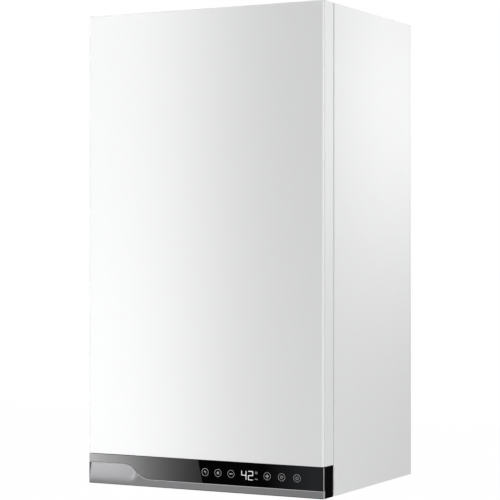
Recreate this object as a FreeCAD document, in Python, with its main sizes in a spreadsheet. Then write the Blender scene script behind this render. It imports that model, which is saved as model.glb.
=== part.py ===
import FreeCAD, Part
import math
import os
import re

import Sketcher

# A wall-hung gas boiler at real size, in millimetres.
# The origin is midway between the two wall bolts, in the plane of the wall.
# +Z is up, the front of the boiler faces -Y and +X is on the right of someone facing it.

doc = FreeCAD.newDocument("gas_boiler")

# The driving sizes: name, value, meaning.
SIZES = [
    ("case_width", 400, "width over both side panels"),
    ("case_height", 720, "height of the casing"),
    ("case_depth", 330, "wall to the face of the front cover"),
    ("bracket_drop", 60, "casing top above the wall bolts"),
    ("panel_sheet", 1, "casing sheet"),
    ("bend_radius", 1.2, "outer radius of the folded casing edges"),
    ("fit_gap", 0.3, "play between pieces that only lie close"),
    ("cover_return", 34, "depth of the front cover's returned edges"),
    ("cover_seam", 4.5, "open seam between the cover and the casing"),
    ("cover_gap", 1, "gap between the cover and the control strip"),
    ("cover_edge", 3, "rounding of the cover's front edges"),
    ("cover_bottom_flange", 12, "depth of the cover's lower flange"),
    ("groove_setback", 3.2, "shadow groove behind the cover's face"),
    ("groove_width", 1.8, "width of the shadow groove"),
    ("groove_depth", 0.7, "depth of the shadow groove"),
    ("side_front_flange", 16, "front flange of a side panel"),
    ("side_rear_flange", 14, "rear flange of a side panel"),
    ("back_gap", 12, "wall to the back panel"),
    ("back_flange", 25, "side flanges of the back panel"),
    ("shelf_drop", 9, "depth of the hook shelf of the top panel"),
    ("shelf_lip", 4, "height of the lip on the hook shelf"),
    ("hook_clearance", 0.5, "play of a sheet hook"),
    ("bracket_width", 320, "length of the wall bracket"),
    ("bracket_sheet", 2, "sheet of the wall bracket"),
    ("bracket_web", 30, "bracket web below the bolts"),
    ("bolt_spacing", 250, "distance between the wall bolts"),
    ("bolt_radius", 4.5, "radius of the wall bolt holes"),
    ("hook_height", 18, "hook step above the bolts"),
    ("hook_lip", 12, "height of the hook tip"),
    ("hook_width", 50, "width of one hook"),
    ("hook_spacing", 200, "distance between the hooks"),
    ("slot_play", 4, "play of a hook in its slot, sideways"),
    ("slot_height", 14, "height of the hook slots"),
    ("strip_height", 45.5, "height of the control strip"),
    ("trim_height", 11.5, "height of the silver trim at the right"),
    ("lobe_height", 33.5, "height of the silver trim at the left"),
    ("scurve_start", 140, "left end of the S-curve, left of the middle"),
    ("scurve_end", 90, "right end of the S-curve, left of the middle"),
    ("window_left", 7.5, "upper left corner of the touch window, left of the middle"),
    ("window_slant", 8, "lean of the touch window's left end"),
    ("inlay_depth", 5, "face of the strip to the fascia behind it"),
    ("trim_proud", 0.8, "silver trim in front of the window"),
    ("inlay_gap", 0.2, "joint between the inlays"),
    ("scoop_depth", 3, "depth of the scooped lobe at its top"),
    ("scoop_foot", 6, "flat foot under the scoop"),
    ("scoop_runout", 26, "length over which the scoop fades out"),
    ("trim_edge", 1.5, "rounding of the trim's lower edge"),
    ("fascia_wall", 2.5, "wall of the fascia moulding"),
    ("fascia_edge", 1, "rounding of the fascia's ends"),
    ("hinge_setback", 165, "wall to the control box hinge"),
    ("hinge_height", 10, "control box hinge above the casing bottom"),
    ("hinge_pin", 3, "radius of the hinge pins"),
    ("pin_clearance", 0.05, "running clearance of pins and stems"),
    ("ear_radius", 7, "radius of the hinge bosses"),
    ("ear_length", 12, "length of the hinge bosses"),
    ("hinge_plate", 2, "plate of the hinge brackets"),
    ("hinge_plate_height", 34, "height of the hinge brackets"),
    ("tray_side_gap", 4, "control tray to the side panels' flanges"),
    ("tray_wall", 2, "wall of the control tray"),
    ("tray_height", 35.5, "height of the control tray"),
    ("lid_sheet", 2, "thickness of the tray lid"),
    ("lid_slot_length", 60, "length of a vent slot in the lid"),
    ("lid_slot_width", 4, "width of a vent slot in the lid"),
    ("lid_slot_pitch", 14, "distance between the vent slots"),
    ("lid_slot_rows", 5, "rows of vent slots"),
    ("display_space", 8, "room between fascia and tray"),
    ("display_margin", 24, "display board to the right end of the strip"),
    ("board_sheet", 1.6, "thickness of the circuit boards"),
    ("board_standoff", 6, "height of the board posts"),
    ("board_post", 4, "radius of the board posts"),
    ("board_margin", 14, "tray wall to the edge of the main board"),
    ("transformer_side", 42, "side of the transformer"),
    ("transformer_height", 24, "height of the transformer"),
    ("relay_length", 20, "length of a relay"),
    ("relay_width", 11, "width of a relay"),
    ("relay_height", 15, "height of a relay"),
    ("relay_count", 4, "number of relays"),
    ("capacitor_radius", 7, "radius of the big capacitor"),
    ("capacitor_height", 22, "height of the big capacitor"),
    ("plate_height", 24, "pipe plate above the casing bottom"),
    ("plate_sheet", 1.5, "sheet of the pipe plate"),
    ("plate_reach", 20, "pipe plate in front of the tails"),
    ("plate_flange", 14, "flanges of the pipe plate"),
    ("tail_line", 130, "wall to the line of tails"),
    ("tail_share", 0.175, "distance between neighbouring tails, as a share of the width"),
    ("tail_drop", 10, "tails below the casing bottom"),
    ("tail_wall", 3, "wall of the tails"),
    ("big_thread", 13.2, "radius of the G3/4 tails"),
    ("small_thread", 10.45, "radius of the G1/2 tails"),
    ("thread_relief", 0.3, "relief of the tails above their threads"),
    ("big_nut", 36, "width across flats of the big nuts"),
    ("small_nut", 27, "width across flats of the small nuts"),
    ("nut_height", 9, "height of the nuts"),
    ("nut_play", 0.1, "radial play of a nut on its tail"),
    ("collar_height", 6, "height of the tails' hexagon collars"),
    ("bore_depth", 34, "depth of the bores in the tails"),
    ("riser_radius", 18, "radius of the outer risers"),
    ("inner_riser", 16, "radius of the inner risers"),
    ("flow_riser_level", 110, "top of the flow riser"),
    ("pump_seat_level", 84, "top of the return riser"),
    ("inner_riser_level", 106, "top of the inner risers"),
    ("bridge_level", 64, "height of the bridges between the risers"),
    ("bridge_radius", 13, "radius of the bridges"),
    ("boss_radius", 10, "radius of small bosses"),
    ("exchanger_gap", 4, "plate heat exchanger to the pump motor"),
    ("exchanger_height", 74, "height of the plate heat exchanger"),
    ("exchanger_stack", 42, "depth of the plate stack"),
    ("exchanger_level", 52, "plate heat exchanger above the casing bottom"),
    ("exchanger_offset", 30, "tails to the plate heat exchanger"),
    ("exchanger_corner", 18, "corner radius of the plates"),
    ("exchanger_plates", 12, "number of plates"),
    ("exchanger_rim", 1.5, "rim of a plate past the core"),
    ("exchanger_port", 11, "radius of the exchanger ports"),
    ("pump_level", 138, "pump axis above the casing bottom"),
    ("volute_radius", 44, "radius of the pump volute"),
    ("volute_width", 54, "width of the pump volute"),
    ("volute_edge", 8, "chamfer of the pump volute"),
    ("pump_port", 15, "radius of the pump ports"),
    ("pump_port_rise", 8, "outlet port above the volute"),
    ("motor_radius", 40, "radius of the pump motor"),
    ("motor_length", 76, "length of the pump motor"),
    ("motor_ribs", 7, "number of cooling grooves"),
    ("motor_rib_depth", 2.5, "depth of a cooling groove"),
    ("motor_cap", 12, "smooth front cap of the pump motor"),
    ("terminal_width", 44, "width of the pump terminal box"),
    ("terminal_length", 40, "length of the pump terminal box"),
    ("terminal_height", 22, "pump terminal box above the motor"),
    ("vent_offset", 28, "air vent left of the pump axis"),
    ("vent_level", 180, "foot of the air vent"),
    ("vent_radius", 13, "radius of the air vent"),
    ("vent_height", 34, "height of the air vent"),
    ("actuator_side", 46, "side of the diverter actuator"),
    ("actuator_height", 52, "height of the diverter actuator"),
    ("actuator_neck", 8, "height of the actuator's bayonet neck"),
    ("actuator_edge", 5, "rounding of the actuator"),
    ("sensor_radius", 9, "radius of the pressure sensor"),
    ("sensor_height", 30, "height of the pressure sensor"),
    ("sensor_foot", 86, "foot of the pressure sensor"),
    ("turbine_radius", 13, "radius of the flow sensor"),
    ("turbine_height", 34, "height of the flow sensor"),
    ("valve_bottom", 142, "underside of the gas valve"),
    ("valve_height", 46, "height of the gas valve"),
    ("valve_half_width", 30, "half width of the gas valve"),
    ("valve_half_depth", 32, "half depth of the gas valve"),
    ("valve_chamfer", 6, "chamfer of the gas valve's corners"),
    ("valve_port", 14, "radius of the gas valve's ports"),
    ("valve_port_rise", 6, "height of the gas valve's ports"),
    ("coil_radius", 12.5, "radius of a gas valve coil"),
    ("coil_length", 36, "length of a gas valve coil"),
    ("coil_offset", 14, "coil left and right of the middle"),
    ("gas_pipe_radius", 8, "radius of the gas pipe"),
    ("gas_run_level", 208, "height of the level run of the gas pipe"),
    ("gas_bend", 13, "bend radius of the gas pipe"),
    ("water_pipe_radius", 9, "radius of the flow and return pipes"),
    ("water_bend", 18, "bend radius of the flow and return pipes"),
    ("pipe_wall", 1, "wall of the pipes"),
    ("safety_level", 60, "height of the safety valve"),
    ("safety_radius", 12, "radius of the safety valve"),
    ("safety_length", 24, "length of the safety valve"),
    ("spout_radius", 8, "radius of the safety valve's outlet"),
    ("stem_radius", 5, "radius of the knob stems"),
    ("stem_length", 12, "length of the knob stems"),
    ("knob_radius", 14, "radius of the knobs"),
    ("knob_length", 16, "length of the knobs"),
    ("knob_grips", 10, "number of grips on a knob"),
    ("knob_grip_radius", 2, "radius of a grip"),
    ("tap_seat_level", 44, "foot of the filling tap's boss"),
    ("tap_radius", 9, "radius of the filling tap"),
    ("tap_length", 34, "length of the filling tap's body"),
    ("gland_radius", 8, "radius of the cable gland's thread"),
    ("gland_flange", 11, "radius of the cable gland's head"),
    ("gland_height", 12, "height of the cable gland's head"),
    ("gland_bore", 4, "radius of the cable gland's bore"),
    ("chamber_level", 225, "chamber floor above the casing bottom"),
    ("chamber_drop", 20, "chamber top below the casing top"),
    ("chamber_side_gap", 30, "side of the casing to the chamber"),
    ("chamber_rear", 95, "wall to the back of the chamber"),
    ("chamber_sheet", 1, "sheet of the chamber"),
    ("chamber_flange", 8, "flange around the chamber's front"),
    ("gasket_depth", 3, "thickness of the chamber gasket"),
    ("gasket_width", 10, "width of the chamber gasket"),
    ("plate_cover_sheet", 1.2, "sheet of the chamber's front plate"),
    ("plate_cover_gap", 2, "front plate to the side panels' flanges"),
    ("rib_inset", 26, "pressed rib inside the front plate's edge"),
    ("rib_width", 10, "width of the pressed rib"),
    ("rib_height", 2.5, "height of the pressed rib"),
    ("pipe_hole_play", 1.5, "play of the pipes in the chamber floor"),
    ("sight_radius", 16, "radius of the sight glass ring"),
    ("sight_depth", 4, "thickness of the sight glass ring"),
    ("sight_left", 70, "sight glass left of the middle"),
    ("sight_height", 110, "sight glass above the chamber floor"),
    ("screw_radius", 4.5, "radius of the screw heads"),
    ("screw_height", 2.6, "height of the screw heads"),
    ("core_wall_gap", 20, "chamber back to the burner and exchanger"),
    ("core_front_gap", 35.5, "burner and exchanger to the chamber's front"),
    ("pipe_run", 22, "level run of a pipe into the heat exchanger"),
    ("end_box", 12, "width of the heat exchanger's end boxes"),
    ("burner_height", 66, "height of the burner"),
    ("burner_blades", 12, "number of burner blades"),
    ("blade_width", 9, "width of a burner blade"),
    ("blade_rail", 6, "depth of the burner's rails"),
    ("blade_rail_height", 14, "height of the burner's rails"),
    ("injector_line", 17, "burner to the manifold"),
    ("manifold_radius", 9, "radius of the burner manifold"),
    ("manifold_rise", 16, "burner manifold above the chamber floor"),
    ("injector_radius", 3, "radius of an injector"),
    ("injector_length", 13, "injector from the manifold's axis"),
    ("ceramic_radius", 4, "radius of an electrode's ceramic"),
    ("ceramic_height", 12, "height of an electrode's ceramic"),
    ("electrode_tip", 1.5, "radius of an electrode's tip"),
    ("electrode_height", 26, "height of an electrode"),
    ("electrode_offset", 30, "electrode left and right of the middle"),
    ("liner_wall", 10, "wall of the combustion liner"),
    ("liner_share", 2 / 3, "share of the liner in the height that the hood leaves free"),
    ("hood_least", 166, "least height of the flue hood"),
    ("fin_block_height", 62, "height of the finned heat exchanger"),
    ("fin_margin", 8, "fins above and below the tubes"),
    ("fin_count", 33, "number of fins"),
    ("fin_sheet", 1, "thickness of a fin"),
    ("tube_count", 5, "number of tubes"),
    ("tube_half_height", 15, "half height of an oval tube"),
    ("tube_half_width", 7, "half width of an oval tube"),
    ("hood_sheet", 1, "sheet of the flue hood"),
    ("hood_skirt", 10, "upright skirt of the flue hood"),
    ("throat_share", 0.47244, "hood's throat, as a share of the depth that the fan leaves free"),
    ("hood_top_drop", 12, "flue hood below the chamber top"),
    ("fan_drop", 82, "fan axis below the chamber top"),
    ("fan_inlet", 34, "radius of the fan inlet"),
    ("volute_base", 46, "smallest radius of the fan scroll"),
    ("volute_step", 5, "growth of the fan scroll per quarter turn"),
    ("scroll_depth", 64, "depth of the fan scroll"),
    ("scroll_sheet", 1.2, "sheet of the fan scroll"),
    ("duct_width", 64, "width of the fan outlet duct"),
    ("duct_drop", 10, "fan duct below the chamber top"),
    ("spigot_radius", 31.5, "radius of the fan's round outlet"),
    ("spigot_wall", 3.5, "wall of the fan's round outlet"),
    ("impeller_radius", 39, "radius of the impeller"),
    ("impeller_root", 30, "inner radius of the impeller blades"),
    ("impeller_depth", 44, "depth of the impeller"),
    ("impeller_sheet", 1.5, "thickness of the impeller's discs"),
    ("impeller_blades", 24, "number of impeller blades"),
    ("impeller_lean", 6, "forward lean of a blade"),
    ("impeller_gap", 5, "impeller to the front of the scroll"),
    ("blade_sheet", 1.4, "thickness of an impeller blade"),
    ("blade_curve", 12, "curvature radius of an impeller blade"),
    ("shaft_radius", 4, "radius of the fan shaft"),
    ("shaft_length", 36, "fan shaft in front of the impeller"),
    ("fan_motor_radius", 33, "radius of the fan motor"),
    ("fan_motor_length", 48, "length of the fan motor"),
    ("fan_motor_foot", 4, "thickness of the fan motor's foot"),
    ("switch_radius", 28, "radius of the air pressure switch"),
    ("switch_depth", 22, "depth of the air pressure switch"),
    ("switch_drop", 95, "air pressure switch below the chamber top"),
    ("switch_line", 210, "wall to the air pressure switch"),
    ("flue_radius", 30, "radius of the flue outlet"),
    ("flue_wall", 2, "wall of the flue outlet"),
    ("air_radius", 50, "radius of the air collar"),
    ("air_wall", 3, "wall of the air collar"),
    ("collar_flange", 70, "radius of the flue collar's flange"),
    ("collar_sheet", 3, "thickness of the flue collar's flange"),
    ("collar_rise", 8, "flue collar above the casing"),
    ("collar_depth", 24, "flue collar below the casing top"),
    ("collar_webs", 3, "number of webs in the flue collar"),
    ("collar_web", 5, "width of a web"),
    ("cap_inner_gap", 16, "air intake cap to the flue collar"),
    ("cap_outer_gap", 30, "air intake cap to the side of the casing"),
    ("cap_height", 4, "height of an air intake cap"),
    ("vessel_share", 0.2194, "radius of the expansion vessel, as a share of the height"),
    ("vessel_depth", 70, "depth of the expansion vessel"),
    ("vessel_seam", 3, "rolled seam of the expansion vessel"),
    ("vessel_sheet", 2.5, "sheet of the expansion vessel"),
    ("vessel_drop", 62, "expansion vessel below the casing top"),
    ("vessel_stub", 8, "radius of the vessel's stub"),
    ("vessel_stub_length", 20, "length of the vessel's stub"),
    ("vessel_pipe_radius", 6, "radius of the vessel pipe"),
    ("vessel_bend", 20, "bend radius of the vessel pipe"),
    ("jog_share", 0.54, "straight share of the vessel pipe above its slope"),
    ("vessel_jog_foot", 170, "lower end of the vessel pipe's slope"),
]

sheet = doc.addObject("Spreadsheet::Sheet", "Sizes")
for row, (alias, value, meaning) in enumerate(SIZES, start=1):
    sheet.set(f"A{row}", meaning)
    sheet.set(f"B{row}", str(value))
    sheet.setAlias(f"B{row}", alias)
doc.recompute()

ALIASES = {alias for alias, value, meaning in SIZES}
PIECES = []

# Shared positions, written as formulas of the driving sizes.
HALF = "(case_width / 2)"
INNER = "(case_width / 2 - panel_sheet)"
TOP = "bracket_drop"
BOTTOM = "(bracket_drop - case_height)"
FRONT = "(-case_depth)"
COVER_REAR = "(cover_return - case_depth)"
CASE_FRONT = "(cover_return + cover_seam - case_depth)"
BACK_FACE = "(-back_gap - panel_sheet)"
OPENING_HALF = "(case_width / 2 - side_front_flange - fit_gap)"
STRIP_TOP = "(bracket_drop - case_height + strip_height)"
COVER_BOTTOM = "(bracket_drop - case_height + strip_height + cover_gap)"
TAIL_PITCH = "(case_width * tail_share)"
CHAMBER_TOP = f"({TOP} - chamber_drop)"
CHAMBER_FRONT = f"({CASE_FRONT} + panel_sheet)"
CORE_BACK = "(-chamber_rear - core_wall_gap)"
CORE_FRONT = f"({CHAMBER_FRONT} + core_front_gap)"
CORE_DEPTH = f"({CORE_BACK} - {CORE_FRONT})"
FAN_ROOM = f"({CORE_BACK} - {CHAMBER_FRONT} - scroll_depth - fan_motor_length)"
NECK_Y = f"({CORE_BACK} - throat_share * {FAN_ROOM})"
FLUE_LINE = f"({NECK_Y} - scroll_depth / 2)"

UP = FreeCAD.Rotation()
DOWN = FreeCAD.Rotation(FreeCAD.Vector(1, 0, 0), 180)
TO_FRONT = FreeCAD.Rotation(FreeCAD.Vector(1, 0, 0), 90)
TO_BACK = FreeCAD.Rotation(FreeCAD.Vector(1, 0, 0), -90)
TO_RIGHT = FreeCAD.Rotation(FreeCAD.Vector(0, 1, 0), 90)
TO_LEFT = FreeCAD.Rotation(FreeCAD.Vector(0, 1, 0), -90)


def level(height):
    """A height above the casing bottom, as a formula."""
    return f"(bracket_drop - case_height + {height})"


def formula(text):
    """Point every size name in a formula at its cell in the sheet."""
    def cell(word):
        return f"Sizes.{word[0]}" if word[0] in ALIASES else word[0]
    return re.sub(r"[a-z]\w*", cell, text)


def number(text):
    """The present value of a formula."""
    return float(sheet.evalExpression(formula(text)))


def bind(item, **formulas):
    """Drive properties of a document object by formulas."""
    for prop, text in formulas.items():
        item.setExpression(prop, formula(text))


def place(item, at, turn=UP):
    """Turn an object and drive its position by formulas."""
    item.Placement = FreeCAD.Placement(FreeCAD.Vector(), turn)
    for letter, text in zip("xyz", at):
        item.setExpression(f"Placement.Base.{letter}", formula(text))


def block(name, x, y, z):
    """A box between two formulas on each axis."""
    item = doc.addObject("Part::Box", name)
    bind(item, Length=f"({x[1]}) - ({x[0]})", Width=f"({y[1]}) - ({y[0]})", Height=f"({z[1]}) - ({z[0]})")
    place(item, (x[0], y[0], z[0]))
    return item


def rod(name, radius, at, length, turn=UP):
    """A round bar from a point, along a direction."""
    item = doc.addObject("Part::Cylinder", name)
    bind(item, Radius=radius, Height=length)
    place(item, at, turn)
    return item


def hexagon(name, flats, at, height):
    """An upright hexagon bar, its flats facing front and back."""
    item = doc.addObject("Part::Prism", name)
    item.Polygon = 6
    bind(item, Circumradius=f"{flats} / sqrt(3)", Height=height)
    place(item, at)
    return item


def cut(name, base, tools):
    """One piece with others taken out of it."""
    item = doc.addObject("Part::Cut", name)
    item.Base = base
    item.Tool = tools[0] if len(tools) == 1 else group(f"{name}_tools", tools)
    return item


def fuse(name, shapes):
    """Several shapes grown into one piece."""
    item = doc.addObject("Part::MultiFuse", name)
    item.Shapes = shapes
    item.Refine = True
    return item


def group(name, shapes):
    """Separate solids kept together."""
    item = doc.addObject("Part::Compound", name)
    item.Links = shapes
    return item


def piece(name, item):
    """Mark a finished piece and give it the name of its file."""
    item.Label = name
    PIECES.append((name, item))
    return item


def draw_arc(start, stop, radius):
    """An arc between two points; a positive radius turns counter-clockwise."""
    chord = stop - start
    middle = (start + stop) * 0.5
    left = FreeCAD.Vector(-chord.y, chord.x, 0).normalize()
    rise = math.sqrt(max(radius ** 2 - (chord.Length / 2) ** 2, 0))
    centre = middle + left * math.copysign(rise, radius)
    first, last = (start, stop) if radius > 0 else (stop, start)
    angles = [math.atan2(point.y - centre.y, point.x - centre.x) for point in (first, last)]
    circle = Part.Circle(centre, FreeCAD.Vector(0, 0, 1), abs(radius))
    return Part.ArcOfCircle(circle, angles[0], angles[1])


def draw_circle(sketch, across, along, radius):
    """A circle whose centre and radius follow formulas."""
    centre = FreeCAD.Vector(number(across), number(along), 0)
    curve = sketch.addGeometry(Part.Circle(centre, FreeCAD.Vector(0, 0, 1), number(radius)), False)
    hold(sketch, "Radius", (curve,), radius)
    hold(sketch, "DistanceX", (-1, 1, curve, 3), across)
    hold(sketch, "DistanceY", (-1, 1, curve, 3), along)


def hold(sketch, kind, where, text):
    """A dimension in a sketch that follows a formula."""
    index = sketch.addConstraint(Sketcher.Constraint(kind, *where, number(text)))
    sketch.setExpression(f"Constraints[{index}]", formula(text))


def draw_loop(sketch, loop):
    """A closed outline; a third value at a corner is the radius of the arc that leaves it."""
    corners = [FreeCAD.Vector(number(corner[0]), number(corner[1]), 0) for corner in loop]
    sides = []
    for index, corner in enumerate(loop):
        start = corners[index]
        stop = corners[(index + 1) % len(loop)]
        if len(corner) == 2:
            side = sketch.addGeometry(Part.LineSegment(start, stop), False)
            sides.append((side, 1, 2))
            continue
        side = sketch.addGeometry(draw_arc(start, stop, number(corner[2])), False)
        sides.append((side, 1, 2) if number(corner[2]) > 0 else (side, 2, 1))
    for index, (side, first, last) in enumerate(sides):
        after = sides[(index + 1) % len(sides)]
        sketch.addConstraint(Sketcher.Constraint("Coincident", side, last, after[0], after[1]))
    for (side, first, last), corner in zip(sides, loop):
        hold(sketch, "DistanceX", (-1, 1, side, first), corner[0])
        hold(sketch, "DistanceY", (-1, 1, side, first), corner[1])
        if len(corner) == 3:
            hold(sketch, "Radius", (side,), f"abs({corner[2]})")


def new_sketch(body, plane, loops, offset=None):
    """A sketch on one of the body's own planes, drawn from outlines and circles."""
    sketch = body.newObject("Sketcher::SketchObject", f"{body.Name}_sketch")
    support = [feature for feature in body.Origin.OriginFeatures if feature.Role == plane]
    sketch.AttachmentSupport = [(support[0], "")]
    sketch.MapMode = "FlatFace"
    if offset:
        bind(sketch, **{"AttachmentOffset.Base.z": offset})
    for loop in loops:
        if loop[0] == "circle":
            draw_circle(sketch, *loop[1:])
        else:
            draw_loop(sketch, loop)
    return sketch


def add_pad(body, plane, loops, length, offset=None):
    """Raise outlines off one of the body's planes."""
    sketch = new_sketch(body, plane, loops, offset)
    pad = body.newObject("PartDesign::Pad", f"{body.Name}_pad")
    pad.Profile = sketch
    bind(pad, Length=length)
    sketch.Visibility = False
    return pad


def padded(name, plane, loops, length, at=("0", "0", "0")):
    """A body of one raised outline. XY rises to +Z, XZ to -Y and YZ to +X."""
    body = doc.addObject("PartDesign::Body", f"{name}_body")
    add_pad(body, plane, loops, length)
    place(body, at)
    return body


def turned(name, loop, at, turn=UP):
    """A body of revolution: the outline gives radius and height about the given direction."""
    body = doc.addObject("PartDesign::Body", f"{name}_body")
    sketch = new_sketch(body, "XZ_Plane", [loop])
    spin = body.newObject("PartDesign::Revolution", f"{name}_spin")
    spin.Profile = sketch
    spin.ReferenceAxis = (sketch, ["V_Axis"])
    spin.Angle = 360
    place(body, at, turn)
    return body


def add_fillet(body, test, radius):
    """Round the edges of a body whose middle passes the test."""
    doc.recompute()
    tip = body.Tip
    names = []
    for index, edge in enumerate(tip.Shape.Edges, start=1):
        if test(edge.BoundBox.Center, edge):
            names.append(f"Edge{index}")
    fillet = body.newObject("PartDesign::Fillet", f"{body.Name}_fillet")
    fillet.Base = (tip, names)
    bind(fillet, Radius=radius)
    return fillet


def rectangle(left, right, low, high):
    """Four corners of a rectangle."""
    return [(left, low), (right, low), (right, high), (left, high)]


def bent_tube(name, route, radius, bend, wall):
    """A pipe along a route of straight runs with round bends."""
    points = [FreeCAD.Vector(*[number(text) for text in point]) for point in route]
    bend_size = number(bend)
    edges = []
    here = points[0]
    for before, corner, after in zip(points, points[1:], points[2:]):
        back = (before - corner).normalize()
        ahead = (after - corner).normalize()
        half_angle = back.getAngle(ahead) / 2
        reach = bend_size / math.tan(half_angle)
        bisector = (back + ahead).normalize()
        leave = corner + back * reach
        meet = corner + ahead * reach
        crown = corner + bisector * (bend_size / math.sin(half_angle) - bend_size)
        if (leave - here).Length > 1e-6:
            edges.append(Part.makeLine(here, leave))
        edges.append(Part.Arc(leave, crown, meet).toShape())
        here = meet
    edges.append(Part.makeLine(here, points[-1]))
    spine = Part.Wire(edges)
    direction = (points[1] - points[0]).normalize()
    skins = []
    for size in (number(radius), number(radius) - number(wall)):
        disc = Part.Face(Part.Wire([Part.makeCircle(size, points[0], direction)]))
        skins.append(spine.makePipe(disc))
    item = doc.addObject("Part::Feature", name)
    item.Shape = skins[0].cut(skins[1])
    return item


def mirrored_x(name, item):
    """The mirror image of a piece in the middle plane of the boiler."""
    mirror = doc.addObject("Part::Mirroring", name)
    mirror.Source = item
    mirror.Normal = FreeCAD.Vector(1, 0, 0)
    mirror.Base = FreeCAD.Vector(0, 0, 0)
    return mirror


# Casing: two folded side panels, the back panel and the top panel stand on each other's edges.

PANEL_TOP = f"({TOP} - panel_sheet)"

side_outline = [
    (f"{HALF} - side_rear_flange", "0"),
    (f"{HALF} - side_rear_flange", "-panel_sheet"),
    (INNER, "-panel_sheet"),
    (INNER, f"{CASE_FRONT} + panel_sheet"),
    (f"{HALF} - side_front_flange", f"{CASE_FRONT} + panel_sheet"),
    (f"{HALF} - side_front_flange", CASE_FRONT),
    (HALF, CASE_FRONT),
    (HALF, "0"),
]
right_side = padded("right_side", "XY_Plane", [side_outline], "case_height - panel_sheet", ("0", "0", BOTTOM))
add_fillet(
    right_side,
    lambda middle, edge: middle.x > number(HALF) - 0.01 and edge.BoundBox.ZLength > number("case_height") / 2,
    "bend_radius",
)
piece("right_side_panel", right_side)
piece("left_side_panel", mirrored_x("left_side", right_side))

back_outline = [
    (f"-{INNER}", "-back_gap"),
    (f"-{INNER}", "-back_gap - back_flange"),
    (f"panel_sheet - {INNER}", "-back_gap - back_flange"),
    (f"panel_sheet - {INNER}", BACK_FACE),
    (f"{INNER} - panel_sheet", BACK_FACE),
    (f"{INNER} - panel_sheet", "-back_gap - back_flange"),
    (INNER, "-back_gap - back_flange"),
    (INNER, "-back_gap"),
]
back_sheet = padded("back_sheet", "XY_Plane", [back_outline], "case_height - panel_sheet", ("0", "0", BOTTOM))
hook_slots = []
for side in ("-1", "1"):
    middle = f"{side} * hook_spacing / 2"
    hook_slots.append(block(
        "hook_slot",
        (f"{middle} - hook_width / 2 - slot_play", f"{middle} + hook_width / 2 + slot_play"),
        (BACK_FACE, "-back_gap"),
        ("hook_height - slot_height", "hook_height"),
    ))
piece("back_panel", cut("back", back_sheet, hook_slots))

# The wall bracket: a strip with two bolt holes and two stepped hooks that reach through the back panel.

HOOK_BACK = f"({BACK_FACE} - hook_clearance)"
HOOK_FRONT = f"({BACK_FACE} - hook_clearance - bracket_sheet)"
hook_outline = [
    ("0", "hook_height - bracket_sheet"),
    (HOOK_FRONT, "hook_height - bracket_sheet"),
    (HOOK_FRONT, "hook_height + hook_lip"),
    (HOOK_BACK, "hook_height + hook_lip"),
    (HOOK_BACK, "hook_height"),
    ("0", "hook_height"),
]
bracket_web = padded(
    "bracket_web",
    "XZ_Plane",
    [
        rectangle("-bracket_width / 2", "bracket_width / 2", "-bracket_web", "hook_height"),
        ("circle", "-bolt_spacing / 2", "0", "bolt_radius"),
        ("circle", "bolt_spacing / 2", "0", "bolt_radius"),
    ],
    "bracket_sheet",
)
hooks = []
for side in ("-1", "1"):
    start = f"{side} * hook_spacing / 2 - hook_width / 2"
    hooks.append(padded("bracket_hook", "YZ_Plane", [hook_outline], "hook_width", (start, "0", "0")))
piece("wall_bracket", fuse("bracket", [bracket_web] + hooks))

# The top panel carries the flue collar and, at its front, the shelf that the front cover hooks on.

SHELF_TIP = f"({COVER_REAR} - 2 * panel_sheet - hook_clearance)"
shelf_outline = [
    (f"{CASE_FRONT} + panel_sheet", PANEL_TOP),
    (f"{CASE_FRONT} + panel_sheet", f"{TOP} - shelf_drop - panel_sheet"),
    (SHELF_TIP, f"{TOP} - shelf_drop - panel_sheet"),
    (SHELF_TIP, f"{TOP} - shelf_drop + shelf_lip"),
    (f"{SHELF_TIP} + panel_sheet", f"{TOP} - shelf_drop + shelf_lip"),
    (f"{SHELF_TIP} + panel_sheet", f"{TOP} - shelf_drop"),
    (CASE_FRONT, f"{TOP} - shelf_drop"),
    (CASE_FRONT, PANEL_TOP),
]
top_sheet = padded(
    "top_sheet",
    "XY_Plane",
    [rectangle(f"-{HALF}", HALF, CASE_FRONT, "0"), ("circle", "0", FLUE_LINE, "air_radius - air_wall")],
    "panel_sheet",
    ("0", "0", PANEL_TOP),
)
shelf = padded("shelf", "YZ_Plane", [shelf_outline], f"2 * {OPENING_HALF}", (f"-{OPENING_HALF}", "0", "0"))
piece("top_panel", fuse("top", [top_sheet, shelf]))

# The front cover: a shallow tray with rounded edges, a shadow groove and a hook strip under its top edge.

cover_body = padded(
    "cover",
    "XZ_Plane",
    [rectangle(f"-{HALF}", HALF, COVER_BOTTOM, TOP)],
    "cover_return",
    ("0", COVER_REAR, "0"),
)


def on_cover_face(middle, edge):
    """Edges of the cover's face at its left, right and top."""
    face = edge.BoundBox.YLength < 0.01 and middle.y < -number("cover_return") + 0.01
    return face and middle.z > number(COVER_BOTTOM) + 1


add_fillet(cover_body, on_cover_face, "cover_edge")
cover_hollow = block(
    "cover_hollow",
    (f"panel_sheet - {HALF}", f"{HALF} - panel_sheet"),
    (f"{FRONT} + panel_sheet", COVER_REAR),
    (f"{COVER_BOTTOM} + panel_sheet", PANEL_TOP),
)
cover_mouth = block(
    "cover_mouth",
    (f"panel_sheet - {HALF}", f"{HALF} - panel_sheet"),
    (f"{FRONT} + cover_bottom_flange", COVER_REAR),
    (COVER_BOTTOM, f"{COVER_BOTTOM} + panel_sheet"),
)
cover_grooves = []
for inner, outer in ((f"groove_depth - {HALF}", f"-{HALF}"), (HALF, f"{HALF} - groove_depth")):
    cover_grooves.append(block(
        "cover_groove",
        (outer, inner),
        (f"{FRONT} + groove_setback", f"{FRONT} + groove_setback + groove_width"),
        (COVER_BOTTOM, TOP),
    ))
cover_tray = cut("cover_tray", cover_body, [cover_hollow, cover_mouth] + cover_grooves)
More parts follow.
